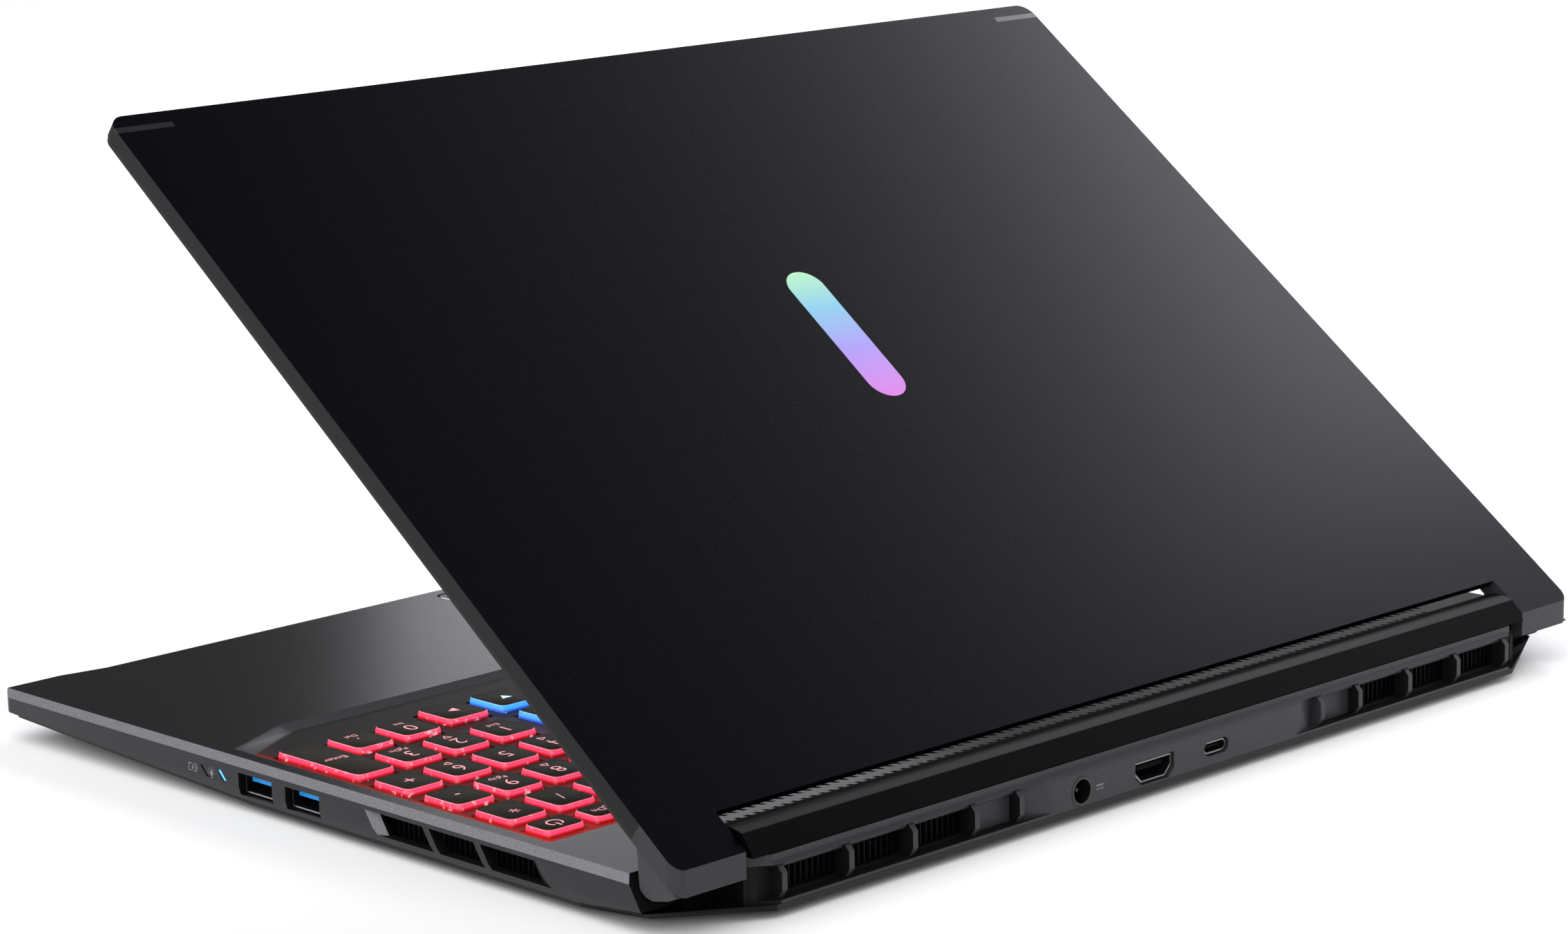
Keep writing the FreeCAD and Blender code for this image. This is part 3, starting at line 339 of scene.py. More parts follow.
def board_look():
    """Circuit board with faint tracks."""
    look = Look("board_green", srgb(18, 60, 40), 0.4, 0.0, 0.5)
    tracks = look.noise(0.5, 4.0, (1, 0.2, 1))
    look.color_from(tracks, srgb(10, 44, 28), srgb(30, 84, 56))
    return look.mat


def keyboard_plate_look():
    """Light guide under the keys."""
    look = Look("light_guide", srgb(60, 14, 16), 0.4, 0.0, 0.5)
    look.rough_from(look.noise(0.2, 2.0), 0.3, 0.5)
    return look.mat


LOOKS = {
    "lid": lid_look(),
    "deck": grainy("deck_charcoal", srgb(19, 19, 21), srgb(27, 27, 30), 0.24, 0.25, grain=4.0),
    "wall": grainy("wall_charcoal", srgb(28, 28, 31), srgb(43, 43, 47), 0.42, 0.35, metal=0.2, grain=3.0),
    # Band on the wall chamfers and rear corners: painted highlight, far lighter than the charcoal of the
    # same case
    "band": grainy("band_painted_highlight", srgb(84, 84, 88), srgb(116, 116, 121), 0.4, 0.5, metal=0.3, grain=3.0),
    # Front slope of the key well: painted highlight, lighter than the deck of the same case
    "slope": grainy("slope_painted_highlight", srgb(48, 48, 51), srgb(63, 63, 67), 0.4, 0.38, grain=3.0),
    # Sides of the lid: painted light, lighter than the black of the same lid
    "lid_side_painted_light": grainy("lid_side_painted_light", srgb(12, 12, 14), srgb(20, 20, 23), 0.42, 0.2, grain=4.0),
    # Backs and outer ends of the lid's ears: painted light, grey on the black of the same lid
    "ear": grainy("ear_painted_light", srgb(36, 36, 39), srgb(50, 50, 54), 0.45, 0.3, grain=4.0),
    "back": grainy("back_charcoal", srgb(36, 36, 39), srgb(54, 54, 58), 0.46, 0.3, grain=4.0, depth=0.02),
    "bar": grainy("bar_charcoal", srgb(3, 3, 4), srgb(6, 6, 8), 0.45, 0.035, grain=4.0, depth=0.01),
    "bar_front": grainy("bar_front", srgb(3, 3, 4), srgb(5, 5, 6), 0.7, 0.05, grain=4.0, depth=0.01),
    "shade": grainy("shade_black", srgb(10, 10, 11), srgb(16, 16, 18), 0.6, 0.15, grain=4.0, depth=0.01),
    "under": grainy("under_charcoal", srgb(21, 21, 23), srgb(31, 31, 33), 0.55, 0.3, grain=2.5, depth=0.02),
    "bezel": grainy("bezel_black", srgb(18, 18, 19), srgb(27, 27, 29), 0.5, 0.3, grain=4.0, depth=0.015),
    "cap": grainy("cap_grey", srgb(40, 40, 43), srgb(60, 60, 64), 0.5, 0.35, grain=2.6, depth=0.03),
    "rubber": grainy("rubber_black", srgb(18, 18, 18), srgb(30, 30, 30), 0.8, 0.2, grain=2.0, depth=0.03),
    "screen": screen_look(),
    "pad": plain("pad_glass", srgb(34, 34, 37), 0.3, 0.0, 0.4),
    "rim": brushed("rim_silver", srgb(190, 192, 198), 0.22),
    "steel": brushed("socket_steel", srgb(196, 196, 198), 0.28),
    "dark_steel": brushed("dark_steel", srgb(128, 128, 132), 0.34),
    # Black of the sockets' own plastic; where it goes on holes, pockets, slots and metal shells it is
    # painted shade
    "socket": plain("socket_black_and_recess_shade", srgb(7, 7, 8), 0.8, 0.0, 0.1),
    "tongue": plain("tongue_blue", srgb(20, 160, 245), 0.4),
    "strip": plain("strip_black", srgb(16, 16, 18), 0.3),
    "board": board_look(),
    "copper": brushed("pipe_copper", srgb(206, 138, 106), 0.3),
    # Fin stacks near black: painted shade deep inside the vents
    "fins": plain("fin_stack_painted_shade", srgb(5, 5, 6), 0.6, 0.0, 0.15),
    "fan": plain("fan_black", srgb(26, 26, 28), 0.5),
    "battery": plain("battery_wrap", srgb(22, 22, 24), 0.4),
    "guide": keyboard_plate_look(),
    "lens": plain("lens_black", srgb(8, 8, 12), 0.08),
    "floor_of_well": well_floor_look(),
    "inlay": inlay_look(),
    "key_top": grainy("key_top", srgb(32, 29, 22), srgb(42, 38, 29), 0.6, 0.15, grain=5.0, depth=0.008),
    "key_red": key_side_look("key_side_red", (0.42, 0.008, 0.012, 1), (0.92, 0.075, 0.19, 1),
                             (0.95, 0.20, 0.24, 1), (1.0, 0.50, 0.56, 1)),
    "key_blue": key_side_look("key_side_blue", (0.03, 0.14, 0.75, 1), (0.06, 0.42, 1.0, 1),
                              (0.20, 0.55, 1.0, 1), (0.6, 0.85, 1.0, 1)),
    "legend_red": glowing("legend_rose", (0.80, 0.33, 0.36, 1), 0.9),
    "legend_blue": glowing("legend_ice", (0.55, 0.8, 1.0, 1), 0.9),
    "rim_glow": glowing("rim_glow_red", (0.75, 0.03, 0.02, 1), 0.9),
    "light_on": glowing("light_blue", (0.10, 0.42, 1.0, 1), 1.0),
    "light_off": plain("light_dark", srgb(26, 26, 30), 0.3),
    "icon": plain("icon_grey", srgb(120, 122, 126), 0.5),
}


# CAD nodes: finishes and softened edges

HINGE_Y, HINGE_Z, EAR_REACH = 130.75, 16.1, 14.0
EAR_X = 150.0
FIRST_RIB, FIRST_VENT, LAST_RIB = 60.0, 77.0, 145.2
RIB_MARGIN, RIB_TOP = 1.0, 13.4
VENT_BED_Y, VENT_DEEP_Y, VENT_FLOOR_Z = 137.0, 135.0, 6.5
REAR_SOCKET_MOUTH, SOCKET_RIM = 138.55, 0.3
SLOTS_FRONT, SLOTS_REAR, SLOTS_HALF = 97.0, 112.0, 160.0
WALL_X, WALL_FRONT_Y = 177.0, -137.5
CHAMFER_X = 177.5
REAR_CORNER_X = (177.3, 179.5)
WELL_FRONT, WELL_DEPTH = -47.0, 1.7
WELL_SLOPE_Y, WELL_SLOPE_X = (-52.0, -30.0), 175.0
POCKET_Y, POCKET_X, POCKET_TOP = 119.5, (150.0, 179.0), 14.2
COVER_CORNER_Y = 102.0
SOCKET_SHELL_X = 177.3
DARK_LIGHT_Y = -43.0

# Share of a normal along an axis from which a face counts as turned to the side, or as square to the axis
SIDEWAYS = 0.8
LEVEL = 0.9

NODE_LOOKS = {
    "lid_cover": "lid", "hinge_bar": "bar", "rear_panel": "back", "bottom_cover": "under",
    "top_case": "deck", "screen_bezel": "bezel", "display_panel": "screen", "webcam_module": "lens",
    "lid_bumpers": "rubber", "lid_inlay": "inlay", "lid_strips": "strip", "hinge_arms": "steel",
    "hinge_caps": "cap",
    "video_port": "dark_steel", "type_c_port": "dark_steel", "dc_jack": "socket", "type_a_ports": "steel",
    "audio_jack": "socket", "network_port": "socket", "status_lights": "light_on", "keyboard_plate": "guide",
    "mainboard": "board", "battery_pack": "battery", "speakers": "fan", "fan_housing_left": "fan",
    "fan_housing_right": "fan", "fan_rotor_left": "fan", "fan_rotor_right": "fan", "fin_stacks": "fins",
    "cold_plate": "copper", "heat_pipes": "copper", "memory_modules": "board", "ssd_module": "board",
    "wireless_card": "board", "hinge_brackets": "steel", "rubber_feet": "rubber",
    "bottom_screws": "dark_steel", "touchpad": "pad",
}


# Width of the rounded edges
EDGE_WIDTHS = {
    "lid_cover": 0.3, "hinge_bar": 0.3, "rear_panel": 0.25, "top_case": 0.18, "bottom_cover": 0.25,
    "hinge_caps": 0.4, "screen_bezel": 0.2,
}


def dress(node, look):
    """Gives a CAD node its main finish."""
    mesh = nodes[node].data
    mesh.materials.clear()
    mesh.materials.append(LOOKS[look])


def repaint(node, look, test):
    """Gives a second finish to a node's faces whose centre, in millimetres, and normal pass the test."""
    mesh = nodes[node].data
    mesh.materials.append(LOOKS[look])
    index = len(mesh.materials) - 1
    for face in mesh.polygons:
        if test(face.center / MM, face.normal):
            face.material_index = index


def soften(node, width, segments=2, angle=25.0):
    """Small rounded edges over a CAD node, so that its corners catch the light."""
    piece = nodes[node]
    weld = piece.modifiers.new("weld", "WELD")
    weld.merge_threshold = 1e-6
    flat = piece.modifiers.new("flat", "DECIMATE")
    flat.decimate_type = "DISSOLVE"
    flat.angle_limit = math.radians(0.5)
    flat.delimit = {"MATERIAL"}
    bevel = piece.modifiers.new("edge", "BEVEL")
    bevel.width = width * MM
    bevel.segments = segments
    bevel.limit_method = "ANGLE"
    bevel.angle_limit = math.radians(angle)
    bevel.use_clamp_overlap = True
    for face in piece.data.polygons:
        face.use_smooth = True
    even = piece.modifiers.new("even", "WEIGHTED_NORMAL")
    even.mode = "FACE_AREA"
    even.weight = 100
    even.keep_sharp = False


# Tests for second finishes: each takes a face's centre c, in millimetres, and its normal n


def on_side_wall(c, n):
    """Whether a face of the top case is on its outer walls."""
    return abs(n.z) < LEVEL and (abs(c.x) > WALL_X or c.y < WALL_FRONT_Y)


def on_chamfer(c, n):
    """Whether a face of the top case is on the slope along the top of a side wall."""
    return 0.3 < n.z < LEVEL and abs(c.x) > CHAMFER_X


def on_rear_corner(c, n):
    """Whether a face of the top case is on the slanted end of a side wall."""
    low, high = REAR_CORNER_X
    return n.y > 0.3 and abs(n.x) > 0.3 and low < abs(c.x) < high


def on_well_floor(c, n):
    """Whether a face of the top case is on the floor of the key well."""
    level = WELL_Z - WELL_DEPTH < c.z < WELL_Z + 0.05
    return level and abs(c.x) < WELL_RIGHT and WELL_FRONT < c.y < WELL_REAR


def on_well_slope(c, n):
    """Whether a face of the top case is on the slope at the front of the key well."""
    low, high = WELL_SLOPE_Y
    return 0.3 < n.z < 0.97 and low < c.y < high and abs(c.x) < WELL_SLOPE_X


def on_pad_rim(c, n):
    """Whether a face of the touchpad is on its slanted rim."""
    return 0.3 < n.z < 0.95


def to_the_side(c, n):
    """Whether a face looks to the left or right."""
    return abs(n.x) > SIDEWAYS


def on_ear_back(c, n):
    """Whether a face of the lid is on the back of an ear."""
    return n.y > 0.5 and n.z < 0.1 and abs(c.x) > EAR_X


def on_ear_end(c, n):
    """Whether a face of the lid is on the outer end of an ear, round the hinge."""
    return abs(n.x) > SIDEWAYS and (c.y - HINGE_Y) ** 2 + (c.z - HINGE_Z) ** 2 < EAR_REACH ** 2


def in_rear_socket(c, n):
    """Whether a face of a rear socket is behind its metal rim."""
    return n.y < LEVEL or c.y < REAR_SOCKET_MOUTH - SOCKET_RIM


def in_rear_vent(c, n):
    """Whether a face of the rear panel is inside the vents: rib sides, the bed between ribs, the floor."""
    if abs(c.x) < FIRST_RIB or abs(c.x) > LAST_RIB + RIB_MARGIN or c.z > RIB_TOP:
        return False
    bed = n.y > LEVEL and c.y < VENT_BED_Y and abs(c.x) > FIRST_VENT
    low = n.z > 0.5 and c.z < VENT_FLOOR_Z
    return abs(n.x) > 0.5 or bed or low or c.y < VENT_DEEP_Y


def past_last_rib(c, n):
    """Whether a face of the rear panel is between the last rib and the corner."""
    return abs(c.x) > LAST_RIB + RIB_MARGIN and c.z < RIB_TOP


def corner_side(c, n):
    """Whether a face of the rear panel past the last rib looks to the left or right."""
    return abs(c.x) > LAST_RIB + RIB_MARGIN and abs(n.x) > SIDEWAYS


def in_hinge_pocket(c, n):
    """Whether a face of the top case is in one of the corner pockets where the hinges swing."""
    low, high = POCKET_X
    return c.y > POCKET_Y and low < abs(c.x) < high and c.z < POCKET_TOP and abs(n.x) < SIDEWAYS


def in_deck_slot(c, n):
    """Whether a face of the top case is a wall of a slot in the strip behind the keys."""
    return SLOTS_FRONT < c.y < SLOTS_REAR and abs(c.x) < SLOTS_HALF and abs(n.z) < 0.5


def in_wall_hole(c, n):
    """Whether a face of the top case is inside a socket's or vent's hole in a side wall."""
    sockets, vents = (-57.0, 5.0), (20.0, 97.0)
    inner_x, outer_x, past_rim_x = 160.0, 179.3, 176.5
    low_z, high_z = 5.0, 11.7
    along = any(low < c.y < high for low, high in (sockets, vents))
    deep = inner_x < abs(c.x) < outer_x and low_z < c.z < high_z
    return along and deep and (abs(n.x) < 0.3 or abs(c.x) < past_rim_x)


def on_cover_corner(c, n):
    """Whether a face of the bottom cover is on the rising rim of a rear corner."""
    return abs(c.x) > LAST_RIB + 2 * RIB_MARGIN and c.y > COVER_CORNER_Y and n.z > -LEVEL


def on_bar_front(c, n):
    """Whether a face of the hinge bar looks to the front."""
    return n.y < -0.05


def on_jack_face(c, n):
    """Whether a face of the power inlet looks to the rear."""
    return n.y > LEVEL


def in_side_socket(c, n):
    """Whether a face of the type-A sockets is behind the mouth of a shell."""
    return abs(c.x) < SOCKET_SHELL_X


def on_tongue(c, n):
    """Whether a face of the type-A sockets is on a tongue rather than on a shell."""
    low, high, half_wide, mouth = 8.15, 10.05, 5.8, 176.0
    middles = (-23.5, -3.65) if c.x > 0 else (-5.85,)
    return low < c.z < high and abs(c.x) < mouth and min(abs(c.y - y) for y in middles) < half_wide


def is_dark_light(c, n):
    """Whether a face of the status lights is on the one that is off."""
    return c.y < DARK_LIGHT_Y


# Second finishes, in the order in which they go on
REPAINTS = (
    # The band on the chamfers, and on the rear corners in the next line, is painted highlight
    ("top_case", "wall", on_side_wall), ("top_case", "band", on_chamfer),
    ("top_case", "band", on_rear_corner), ("top_case", "floor_of_well", on_well_floor),
    ("touchpad", "rim", on_pad_rim),
    # Black on the walls of the holes in the side walls: painted shade
    # The lid's sides get painted light
    ("top_case", "socket", in_wall_hole), ("lid_cover", "lid_side_painted_light", to_the_side),
    # The backs and outer ends of the ears get painted light
    ("lid_cover", "ear", on_ear_back), ("lid_cover", "ear", on_ear_end),
    # Black behind the rims of these ports: the sockets' own plastic, and painted shade on their metal shells
    ("video_port", "socket", in_rear_socket), ("type_c_port", "socket", in_rear_socket),
    ("rear_panel", "shade", in_rear_vent), ("rear_panel", "shade", past_last_rib),
    # Black on the rear panel's corner sides and in the hinge pockets: painted shade
    ("rear_panel", "socket", corner_side), ("top_case", "socket", in_hinge_pocket),
    # Black on the walls of the deck slots: painted shade
    ("top_case", "socket", in_deck_slot), ("bottom_cover", "shade", on_cover_corner),
    ("hinge_bar", "bar_front", on_bar_front), ("dc_jack", "cap", on_jack_face),
    # Black behind the mouths of the type-A shells: their own plastic, and painted shade on the metal shells
    ("type_a_ports", "socket", in_side_socket), ("type_a_ports", "tongue", on_tongue),
    # The front slope of the key well is painted highlight
    ("top_case", "slope", on_well_slope), ("status_lights", "light_off", is_dark_light),
)


def dress_nodes():
    """Gives all CAD nodes their finishes."""
    for node, look in NODE_LOOKS.items():
        dress(node, look)
    for node, look, test in REPAINTS:
        repaint(node, look, test)


# Keys


LETTER_THINNING = 0.013
LETTER_SIZE, WORD_SIZE, SECOND_SIZE = 7.2, 3.4, 2.7
ARROW_SIZE, SECOND_ARROW_SIZE, ARROW_LINE = 2.7, 1.9, 0.28
POWER_RADIUS, POWER_LINE = 2.1, 0.45
POWER_ARC = (125, 415)
POWER_STROKE = ((-0.22, 0.4), (0.22, 0.4), (0.22, 2.8), (-0.22, 2.8))
LEGEND_RAISE, SECOND_DROP = 0.9, -4.0

FUNCTION_KEYS = ["F%d" % i for i in range(1, 13)]
ROW_LEGENDS = {
    "function_row_keys": ["Esc"] + FUNCTION_KEYS + ["Prt", "Ins", "Home", "PgUp", "PgDn"],
    "number_row_keys": list("`1234567890-=") + ["Back", "End", "Num"],
    "upper_row_keys": ["Tab"] + list("QWERTYUIOP[]\\") + ["7"],
    "home_row_keys": ["Caps"] + list("ASDFGHJKL;'") + ["Enter", "4"],
    "lower_row_keys": ["Shift"] + list("ZXCVBNM,./") + ["Shift", "up"],
    "bottom_row_keys": ["Ctrl", "Fn", "Sys", "Alt", "", "Alt", "Ctrl", "left", "down"],
}
SINGLE_LEGENDS = {
    "numpad_enter_key": "Enter", "plus_key": "+", "minus_key": "-", "multiply_key": "*",
    "power_key": "power", "dot_key": ".", "three_key": "3", "six_key": "6", "nine_key": "9",
    "divide_key": "/", "zero_key": "0",
    "two_key": "2", "five_key": "5", "eight_key": "8", "one_key": "1", "right_arrow_key": "right",
}
SECOND_LEGENDS = {
    "dot_key": "Del", "three_key": "PgDn", "nine_key": "PgUp", "zero_key": "Ins", "one_key": "End",
    "two_key": "down", "six_key": "right", "eight_key": "up",
}
ROW_SECONDS = {("upper_row_keys", "7"): "Home", ("home_row_keys", "4"): "left"}
BLUE_KEYS = ("up", "down")


def key_rings(low, high):
    """Rings of one key from its skirt to its top, as (inset, height)."""
    shoulder, edge_drop = 0.8, 0.14
    edge_inset, top_inset = 0.02, 0.16
    tall = high.z - low.z
    return [(0.0, low.z), (KEY_FLARE / 2 * shoulder, low.z + tall * shoulder),
            (KEY_FLARE / 2 + edge_inset, high.z - edge_drop), (KEY_FLARE / 2 + top_inset, high.z)]


def add_key(low, high, verts, faces, slots, side_slot):
    """Adds one key's rings and faces to growing lists."""
    cx, cy = (low.x + high.x) / 2, (low.y + high.y) / 2
    w, d = high.x - low.x, high.y - low.y
    starts = []
    for inset, z in key_rings(low, high):
        starts.append(len(verts))
        loop = rounded_loop(cx, cy, w - 2 * inset, d - 2 * inset, max(0.5, KEY_CORNER - inset * 0.2), z)
        verts.extend(loop)
    count = len(verts) - starts[-1]
    for a, b in zip(starts, starts[1:]):
        made = band(a, b, count)
        faces.extend(made)
        slots.extend([side_slot] * count)
    faces.append(tuple(range(starts[-1], starts[-1] + count)))
    slots.append(0)
    # The skirt turns in and closes the cap underneath
    under = len(verts)
    inner_w, inner_d = w - 2 * KEY_WALL, d - 2 * KEY_WALL
    verts.extend(rounded_loop(cx, cy, inner_w, inner_d, KEY_INNER_CORNER, low.z))
    faces.extend(band(under, starts[0], count))
    slots.extend([side_slot] * count)
    roof = len(verts)
    verts.extend(rounded_loop(cx, cy, inner_w, inner_d, KEY_INNER_CORNER, high.z - KEY_ROOF))
    faces.extend(band(roof, under, count))
    slots.extend([side_slot] * count)
    faces.append(tuple(reversed(range(roof, roof + count))))
    slots.append(side_slot)


def text_mesh(words, size):
    """Flat lettering with a little thickness, centred on its own box, in millimetres."""
    curve = bpy.data.curves.new("letters", "FONT")
    curve.body = words
    curve.size = size * MM
    curve.extrude = LEGEND_THICK / 2 * MM
    curve.offset = -LETTER_THINNING * size * MM
    curve.resolution_u = 3
    curve.align_x = "CENTER"
    curve.align_y = "CENTER"
    holder = bpy.data.objects.new("letters", curve)
    bpy.context.scene.collection.objects.link(holder)
    bpy.context.view_layer.update()
    mesh = bpy.data.meshes.new_from_object(holder.evaluated_get(bpy.context.evaluated_depsgraph_get()))
    bpy.data.objects.remove(holder)
    bpy.data.curves.remove(curve)
    return mesh


def prism(points, z0, z1):
    """Closed mesh of an outline between two heights, in millimetres."""
    n = len(points)
    verts = [(x, y, z0) for x, y in points] + [(x, y, z1) for x, y in points]
    faces = band(0, n, n) + [tuple(reversed(range(n))), tuple(range(n, 2 * n))]
    mesh = bpy.data.meshes.new("prism")
    mesh.from_pydata([Vector(v) * MM for v in verts], [], faces)
    return mesh


def ring_mesh(radius, width, start, stop, steps=28):
    """Flat closed arc in millimetres, from one angle to another in degrees."""
    angles = [math.radians(start + (stop - start) * i / steps) for i in range(steps + 1)]
    far, near = radius + width / 2, radius - width / 2
    outer = [(far * math.cos(a), far * math.sin(a)) for a in angles]
    inner = [(near * math.cos(a), near * math.sin(a)) for a in angles]
    mesh = bmesh.new()
    for quad in zip(outer, outer[1:], inner[1:], inner):
        part = prism(quad, -LEGEND_THICK / 2, LEGEND_THICK / 2)
        mesh.from_mesh(part)
        bpy.data.meshes.remove(part)
    made = bpy.data.meshes.new("ring")
    mesh.to_mesh(made)
    mesh.free()
    return made


def triangle(turn, size, outline):
    """Arrow head that points up the key at turn 0, filled or as an outline."""
    half = LEGEND_THICK / 2
    tip = [(0.0, 0.6), (-0.62, -0.45), (0.62, -0.45)]
    rot = Matrix.Rotation(math.radians(turn), 2)
    points = [tuple(rot @ Vector((x * size, y * size))) for x, y in tip]
    if not outline:
        return [prism(points, -half, half)]
    parts = []
    for i in range(3):
        a, b = Vector(points[i]), Vector(points[(i + 1) % 3])
        side = (b - a).normalized().orthogonal() * (ARROW_LINE / 2)
        parts.append(prism([a - side, b - side, b + side, a + side], -half, half))
    return parts


ARROW_TURNS = {"up": 0, "left": 90, "down": 180, "right": 270}


def legend_parts(word, size):
    """Meshes of one legend, in millimetres round its centre."""
    if word in ARROW_TURNS:
        return triangle(ARROW_TURNS[word], ARROW_SIZE, False)
    if word == "power":
        stroke = prism(POWER_STROKE, -LEGEND_THICK / 2, LEGEND_THICK / 2)
        return [ring_mesh(POWER_RADIUS, POWER_LINE, *POWER_ARC), stroke]
    if not word:
        return []
    return [text_mesh(word, size)]


def legend_size(word):
    """Letter height of a legend, smaller for words."""
    return WORD_SIZE if len(word) > 1 else LETTER_SIZE


def build_keys():
    """Caps and legends of all keys, one piece of each kind per node."""
    cap_looks = [LOOKS["key_top"], LOOKS["key_red"], LOOKS["key_blue"]]
    plans = {node: [(box, SINGLE_LEGENDS[node])] for node in SINGLE_LEGENDS for box in islands(node)}
    for node, words in ROW_LEGENDS.items():
        boxes = sorted(islands(node), key=lambda b: b[0].x)
        plans[node] = list(zip(boxes, words))
    for node, keys in plans.items():
        verts, faces, slots = [], [], []
        letters = bmesh.new()
        blue_letters = bmesh.new()
        for (low, high), word in keys:
            blue = word in BLUE_KEYS
            add_key(low, high, verts, faces, slots, 2 if blue else 1)
            add_legend(node, low, high, word, blue_letters if blue else letters)
        caps = mesh_piece(node + ".caps", verts, faces, node, cap_looks, slots)
        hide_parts(node)
        soften_piece(caps)
        for sheet, look in ((letters, "legend_red"), (blue_letters, "legend_blue")):
            if sheet.verts:
                mesh = bpy.data.meshes.new(node + "." + look)
                sheet.to_mesh(mesh)
                mesh.materials.append(LOOKS[look])
                add_piece(node + "." + look, mesh, node)
            sheet.free()


def add_legend(node, low, high, word, sheet):
    """Adds one key's main legend, and its smaller second one if it has one, to a sheet of lettering."""
    cx, cy = (low.x + high.x) / 2, (low.y + high.y) / 2
    top = high.z + LEGEND_LIFT + LEGEND_THICK / 2
    second = SECOND_LEGENDS.get(node) or ROW_SECONDS.get((node, word))
    places = [(legend_parts(word, legend_size(word)), LEGEND_RAISE if second else 0.0)]
    if second in ARROW_TURNS:
        places.append((triangle(ARROW_TURNS[second], SECOND_ARROW_SIZE, True), SECOND_DROP))
    elif second:
        places.append(([text_mesh(second, SECOND_SIZE)], SECOND_DROP))
    for parts, dy in places:
        for part in parts:
            part.transform(Matrix.Translation(Vector((cx, cy + dy, top)) * MM))
            sheet.from_mesh(part)
            bpy.data.meshes.remove(part)


def soften_piece(piece):
    """Smooth shading that keeps sharp edges sharp."""
    for face in piece.data.polygons:
        face.use_smooth = True
    split = piece.modifiers.new("split", "EDGE_SPLIT")
    split.split_angle = math.radians(40.0)


# Small pieces on the base


def glow_line():
    """Light that leaks along the right and back edges of the key well."""
    x, y, z = WELL_RIGHT, WELL_REAR, WELL_Z
    thick, tall, lift, front = 0.35, 0.55, 0.02, -30.0
    runs = [((x - thick, front), (x, y)), ((-x, y - thick), (x - thick, y))]
    verts, faces = [], []
    for (x0, y0), (x1, y1) in runs:
        start = len(verts)
        for level in (z + lift, z + tall):
            verts += [(x0, y0, level), (x1, y0, level), (x1, y1, level), (x0, y1, level)]
        faces += [tuple(start + i for i in face) for face in
                  ((3, 2, 1, 0), (4, 5, 6, 7), (0, 1, 5, 4), (1, 2, 6, 5), (2, 3, 7, 6), (3, 0, 4, 7))]
    mesh_piece("well_glow_line", verts, faces, "base", [LOOKS["rim_glow"]])


def surface(node, start, toward):
    """Where a line first meets a CAD node, in millimetres."""
    mesh = nodes[node].data
    tree = BVHTree.FromPolygons([v.co / MM for v in mesh.vertices], [f.vertices for f in mesh.polygons])
    return tree.ray_cast(Vector(start), Vector(toward))[0]


def bar_shape(u0, v0, u1, v1, wide):
    """Outline of a straight stroke."""
    a, b = Vector((u0, v0)), Vector((u1, v1))
    side = (b - a).normalized().orthogonal() * wide / 2
    return [tuple(a - side), tuple(b - side), tuple(b + side), tuple(a + side)]


def battery_shapes():
    """Battery outline that is open in the middle, with a bolt there and a nub on the right."""
    line, left, right, nub, half = 0.28, -1.8, 1.5, 1.85, 0.95
    bolt = [(0.25, 1.25), (-0.55, -0.15), (-0.1, -0.15), (-0.25, -1.25), (0.55, 0.15), (0.1, 0.15)]
    strokes = [(left, -half, left, half), (left, half, -0.5, half), (left, -half, -0.7, -half),
               (0.7, half, right, half), (0.5, -half, right, -half), (right, half, right, -half),
               (nub, 0.4, nub, -0.4)]
    return [bolt] + [bar_shape(*stroke, line) for stroke in strokes]


def bulb_shapes():
    """Light bulb with a base line and five rays."""
    sides, wide, tall = 16, 0.62, 0.85
    ray_line = 0.24
    angles = [2 * math.pi * i / sides for i in range(sides)]
    glass = [(wide * math.cos(a), tall * math.sin(a)) for a in angles]
    shapes = [glass, bar_shape(-0.35, -1.2, 0.35, -1.2, 0.3)]
    for turn in (0, 45, 90, 135, 180):
        across, up = math.cos(math.radians(turn)), math.sin(math.radians(turn))
        shapes.append(bar_shape(1.05 * across, 1.2 * up, 1.45 * across, 1.65 * up, ray_line))
    return shapes


def current_shapes():
    """Direct current sign: one line over three dashes."""
    line, low = 0.36, -0.55
    dashes = [(-1.3, low, -0.7, low), (-0.3, low, 0.3, low), (0.7, low, 1.3, low)]
    return [bar_shape(-1.4, 0.45, 1.4, 0.45, line)] + [bar_shape(*dash, line) for dash in dashes]


def icon(name, shapes, place, right, up):
    """Printed sign on a wall, from flat outlines with a little thickness."""
    lift = 0.005
    out = Vector(right).cross(Vector(up))
    sheet = bmesh.new()
    for shape in shapes:
        part = prism(shape, 0.0, LEGEND_THICK)
        sheet.from_mesh(part)
        bpy.data.meshes.remove(part)
    turn = Matrix((Vector(right), Vector(up), out)).transposed().to_4x4()
    move = Matrix.Translation((place + out * lift) * MM)
    bmesh.ops.transform(sheet, matrix=move @ turn, verts=sheet.verts)
    mesh = bpy.data.meshes.new(name)
    sheet.to_mesh(mesh)
    sheet.free()
    mesh.materials.append(LOOKS["icon"])
    add_piece(name, mesh, "base")


def icons():
    """Signs by the status lights on the right wall and by the power inlet on the rear panel."""
    past_wall, past_rear = 190.0, 160.0
    up = (0, 0, 1)
    right_wall = {"sign_battery": (battery_shapes(), -50.5, 8.7), "sign_bulb": (bulb_shapes(), -42.25, 8.6)}
    for name, (shapes, y, z) in right_wall.items():
        icon(name, shapes, surface("top_case", (past_wall, y, z), (-1, 0, 0)), (0, 1, 0), up)
    by_inlet = surface("rear_panel", (31.0, past_rear, 7.6), (0, -1, 0))
    icon("sign_current", current_shapes(), by_inlet, (-1, 0, 0), up)


# Studio


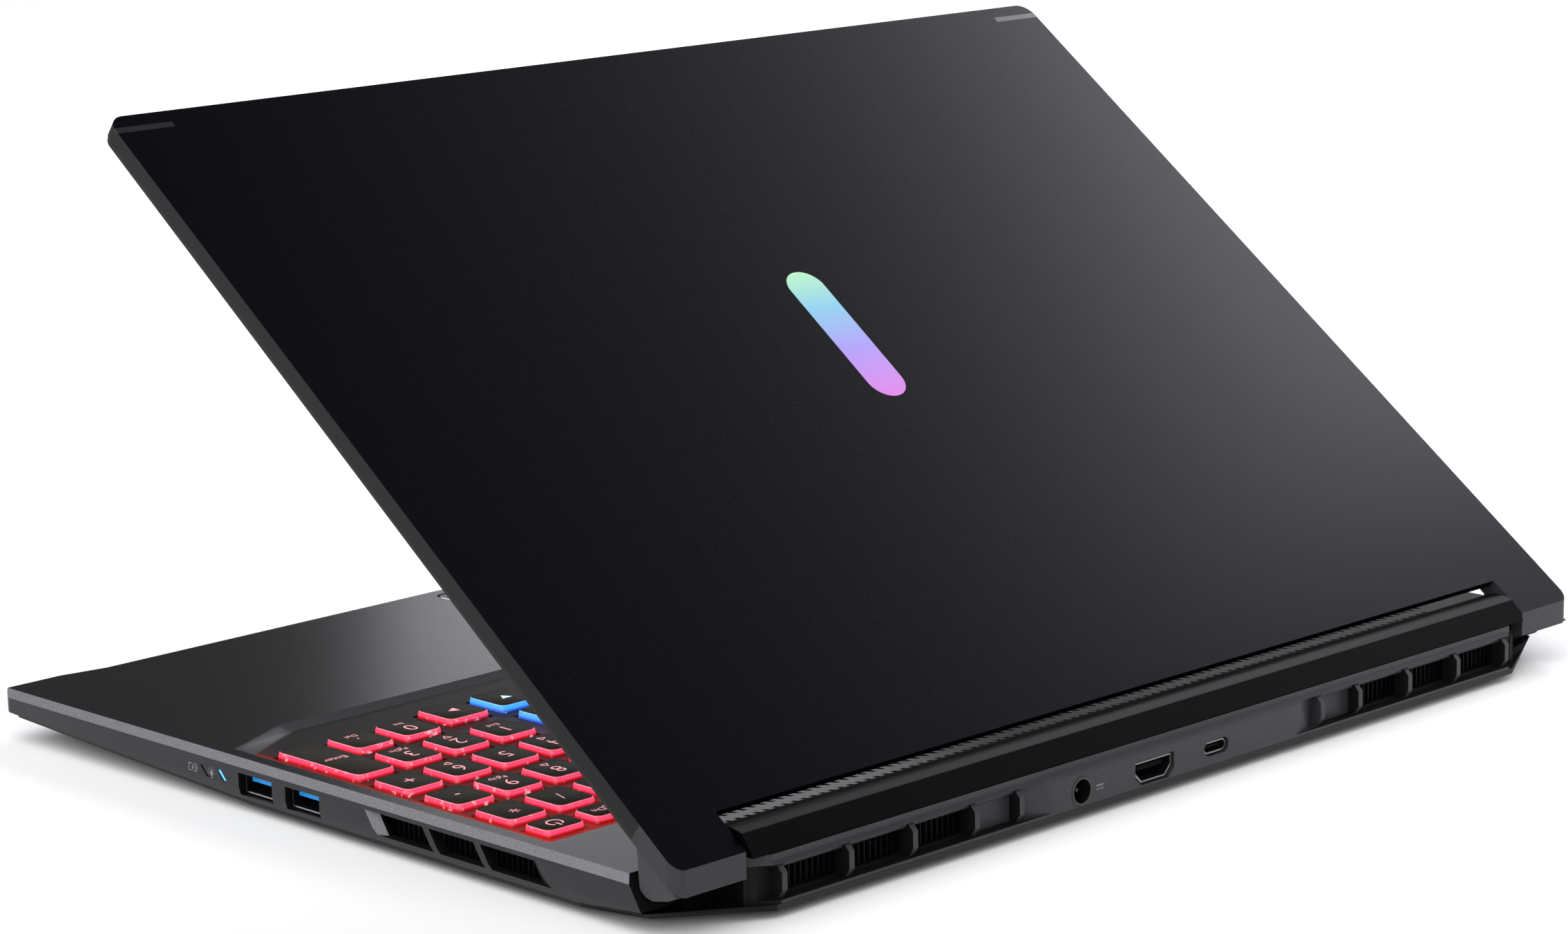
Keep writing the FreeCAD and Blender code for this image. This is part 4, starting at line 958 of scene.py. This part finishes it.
def camera():
    """Camera at the photograph's place, with its lens."""
    data = bpy.data.cameras.new("camera")
    data.sensor_width = SENSOR_MM
    data.lens = FOCAL_PX / PHOTO_W * SENSOR_MM
    data.clip_start = 0.05
    data.clip_end = 60.0
    holder = bpy.data.objects.new("camera", data)
    bpy.context.scene.collection.objects.link(holder)
    yaw, pitch, roll = (math.radians(a) for a in (CAMERA_YAW, CAMERA_PITCH, CAMERA_ROLL))
    ahead = Vector((math.cos(yaw) * math.cos(pitch), math.sin(yaw) * math.cos(pitch), -math.sin(pitch)))
    side = ahead.cross(Vector((0, 0, 1))).normalized()
    above = side.cross(ahead)
    right = math.cos(roll) * side + math.sin(roll) * above
    up = -math.sin(roll) * side + math.cos(roll) * above
    turn = Matrix((right, up, -ahead)).transposed().to_4x4()
    holder.matrix_world = Matrix.Translation(Vector(CAMERA_PLACE) * MM) @ turn
    bpy.context.scene.camera = holder


def floor():
    """Pale floor, half a side given in metres."""
    half = 14.0
    corners = [(-half, -half, 0), (half, -half, 0), (half, half, 0), (-half, half, 0)]
    mesh = bpy.data.meshes.new("floor")
    mesh.from_pydata(corners, [], [(0, 1, 2, 3)])
    look = Look("floor_white", (0.97, 0.97, 0.97, 1), 1.0, 0.0, 0.0)
    mesh.materials.append(look.mat)
    piece = bpy.data.objects.new("floor", mesh)
    bpy.context.scene.collection.objects.link(piece)


def world():
    """Studio dome: bright above and behind the camera, dim on the far side."""
    made = bpy.data.worlds.new("studio")
    made.use_nodes = True
    bpy.context.scene.world = made
    tree = made.node_tree
    coords = tree.nodes.new("ShaderNodeTexCoord")
    toward = tree.nodes.new("ShaderNodeVectorMath")
    toward.operation = "DOT_PRODUCT"
    toward.inputs[1].default_value = BRIGHT_SIDE
    ramp = tree.nodes.new("ShaderNodeValToRGB")
    tree.links.new(coords.outputs["Generated"], toward.inputs[0])
    tree.links.new(toward.outputs["Value"], ramp.inputs["Fac"])
    elements = ramp.color_ramp.elements
    while len(elements) < len(DOME_STOPS):
        elements.new(0.5)
    for element, (place, value) in zip(elements, DOME_STOPS):
        element.position = place
        element.color = (value, value, value, 1)
    back = tree.nodes["Background"]
    back.inputs["Strength"].default_value = DOME_LEVEL
    tree.links.new(ramp.outputs["Color"], back.inputs["Color"])


def area(name, direction, distance, width, height, power):
    """Soft box that faces the middle of the object from a direction."""
    data = bpy.data.lights.new(name, "AREA")
    data.shape = "RECTANGLE"
    data.size = width
    data.size_y = height
    data.energy = power
    data.color = COOL_WHITE
    holder = bpy.data.objects.new(name, data)
    bpy.context.scene.collection.objects.link(holder)
    aim = Vector((0.0, 0.0, 0.06))
    place = aim + Vector(direction).normalized() * distance
    holder.location = place
    holder.rotation_euler = (aim - place).to_track_quat("-Z", "Y").to_euler()
    holder.visible_camera = False


def from_angles(azimuth, elevation):
    """Direction given by its azimuth and elevation in degrees."""
    a, e = math.radians(azimuth), math.radians(elevation)
    return (math.cos(a) * math.cos(e), math.sin(a) * math.cos(e), math.sin(e))


def lights():
    """Soft boxes: direction, distance, width and height in metres, and power in watts."""
    area("lid_sheen", from_angles(198, 32), 2.0, 1.4, 0.6, 18)
    area("back_sheen", from_angles(144, 12), 0.75, 0.5, 0.5, 1.6)
    area("deck_sheen", from_angles(229, 13), 2.0, 0.4, 0.3, 0.75)
    area("edge_sheen", from_angles(304, 32), 2.0, 1.2, 0.8, 9)


dress_nodes()
for node, width in EDGE_WIDTHS.items():
    soften(node, width)
build_keys()
glow_line()
icons()
camera()
floor()
world()
lights()
bpy.context.scene.view_settings.view_transform = "Standard"
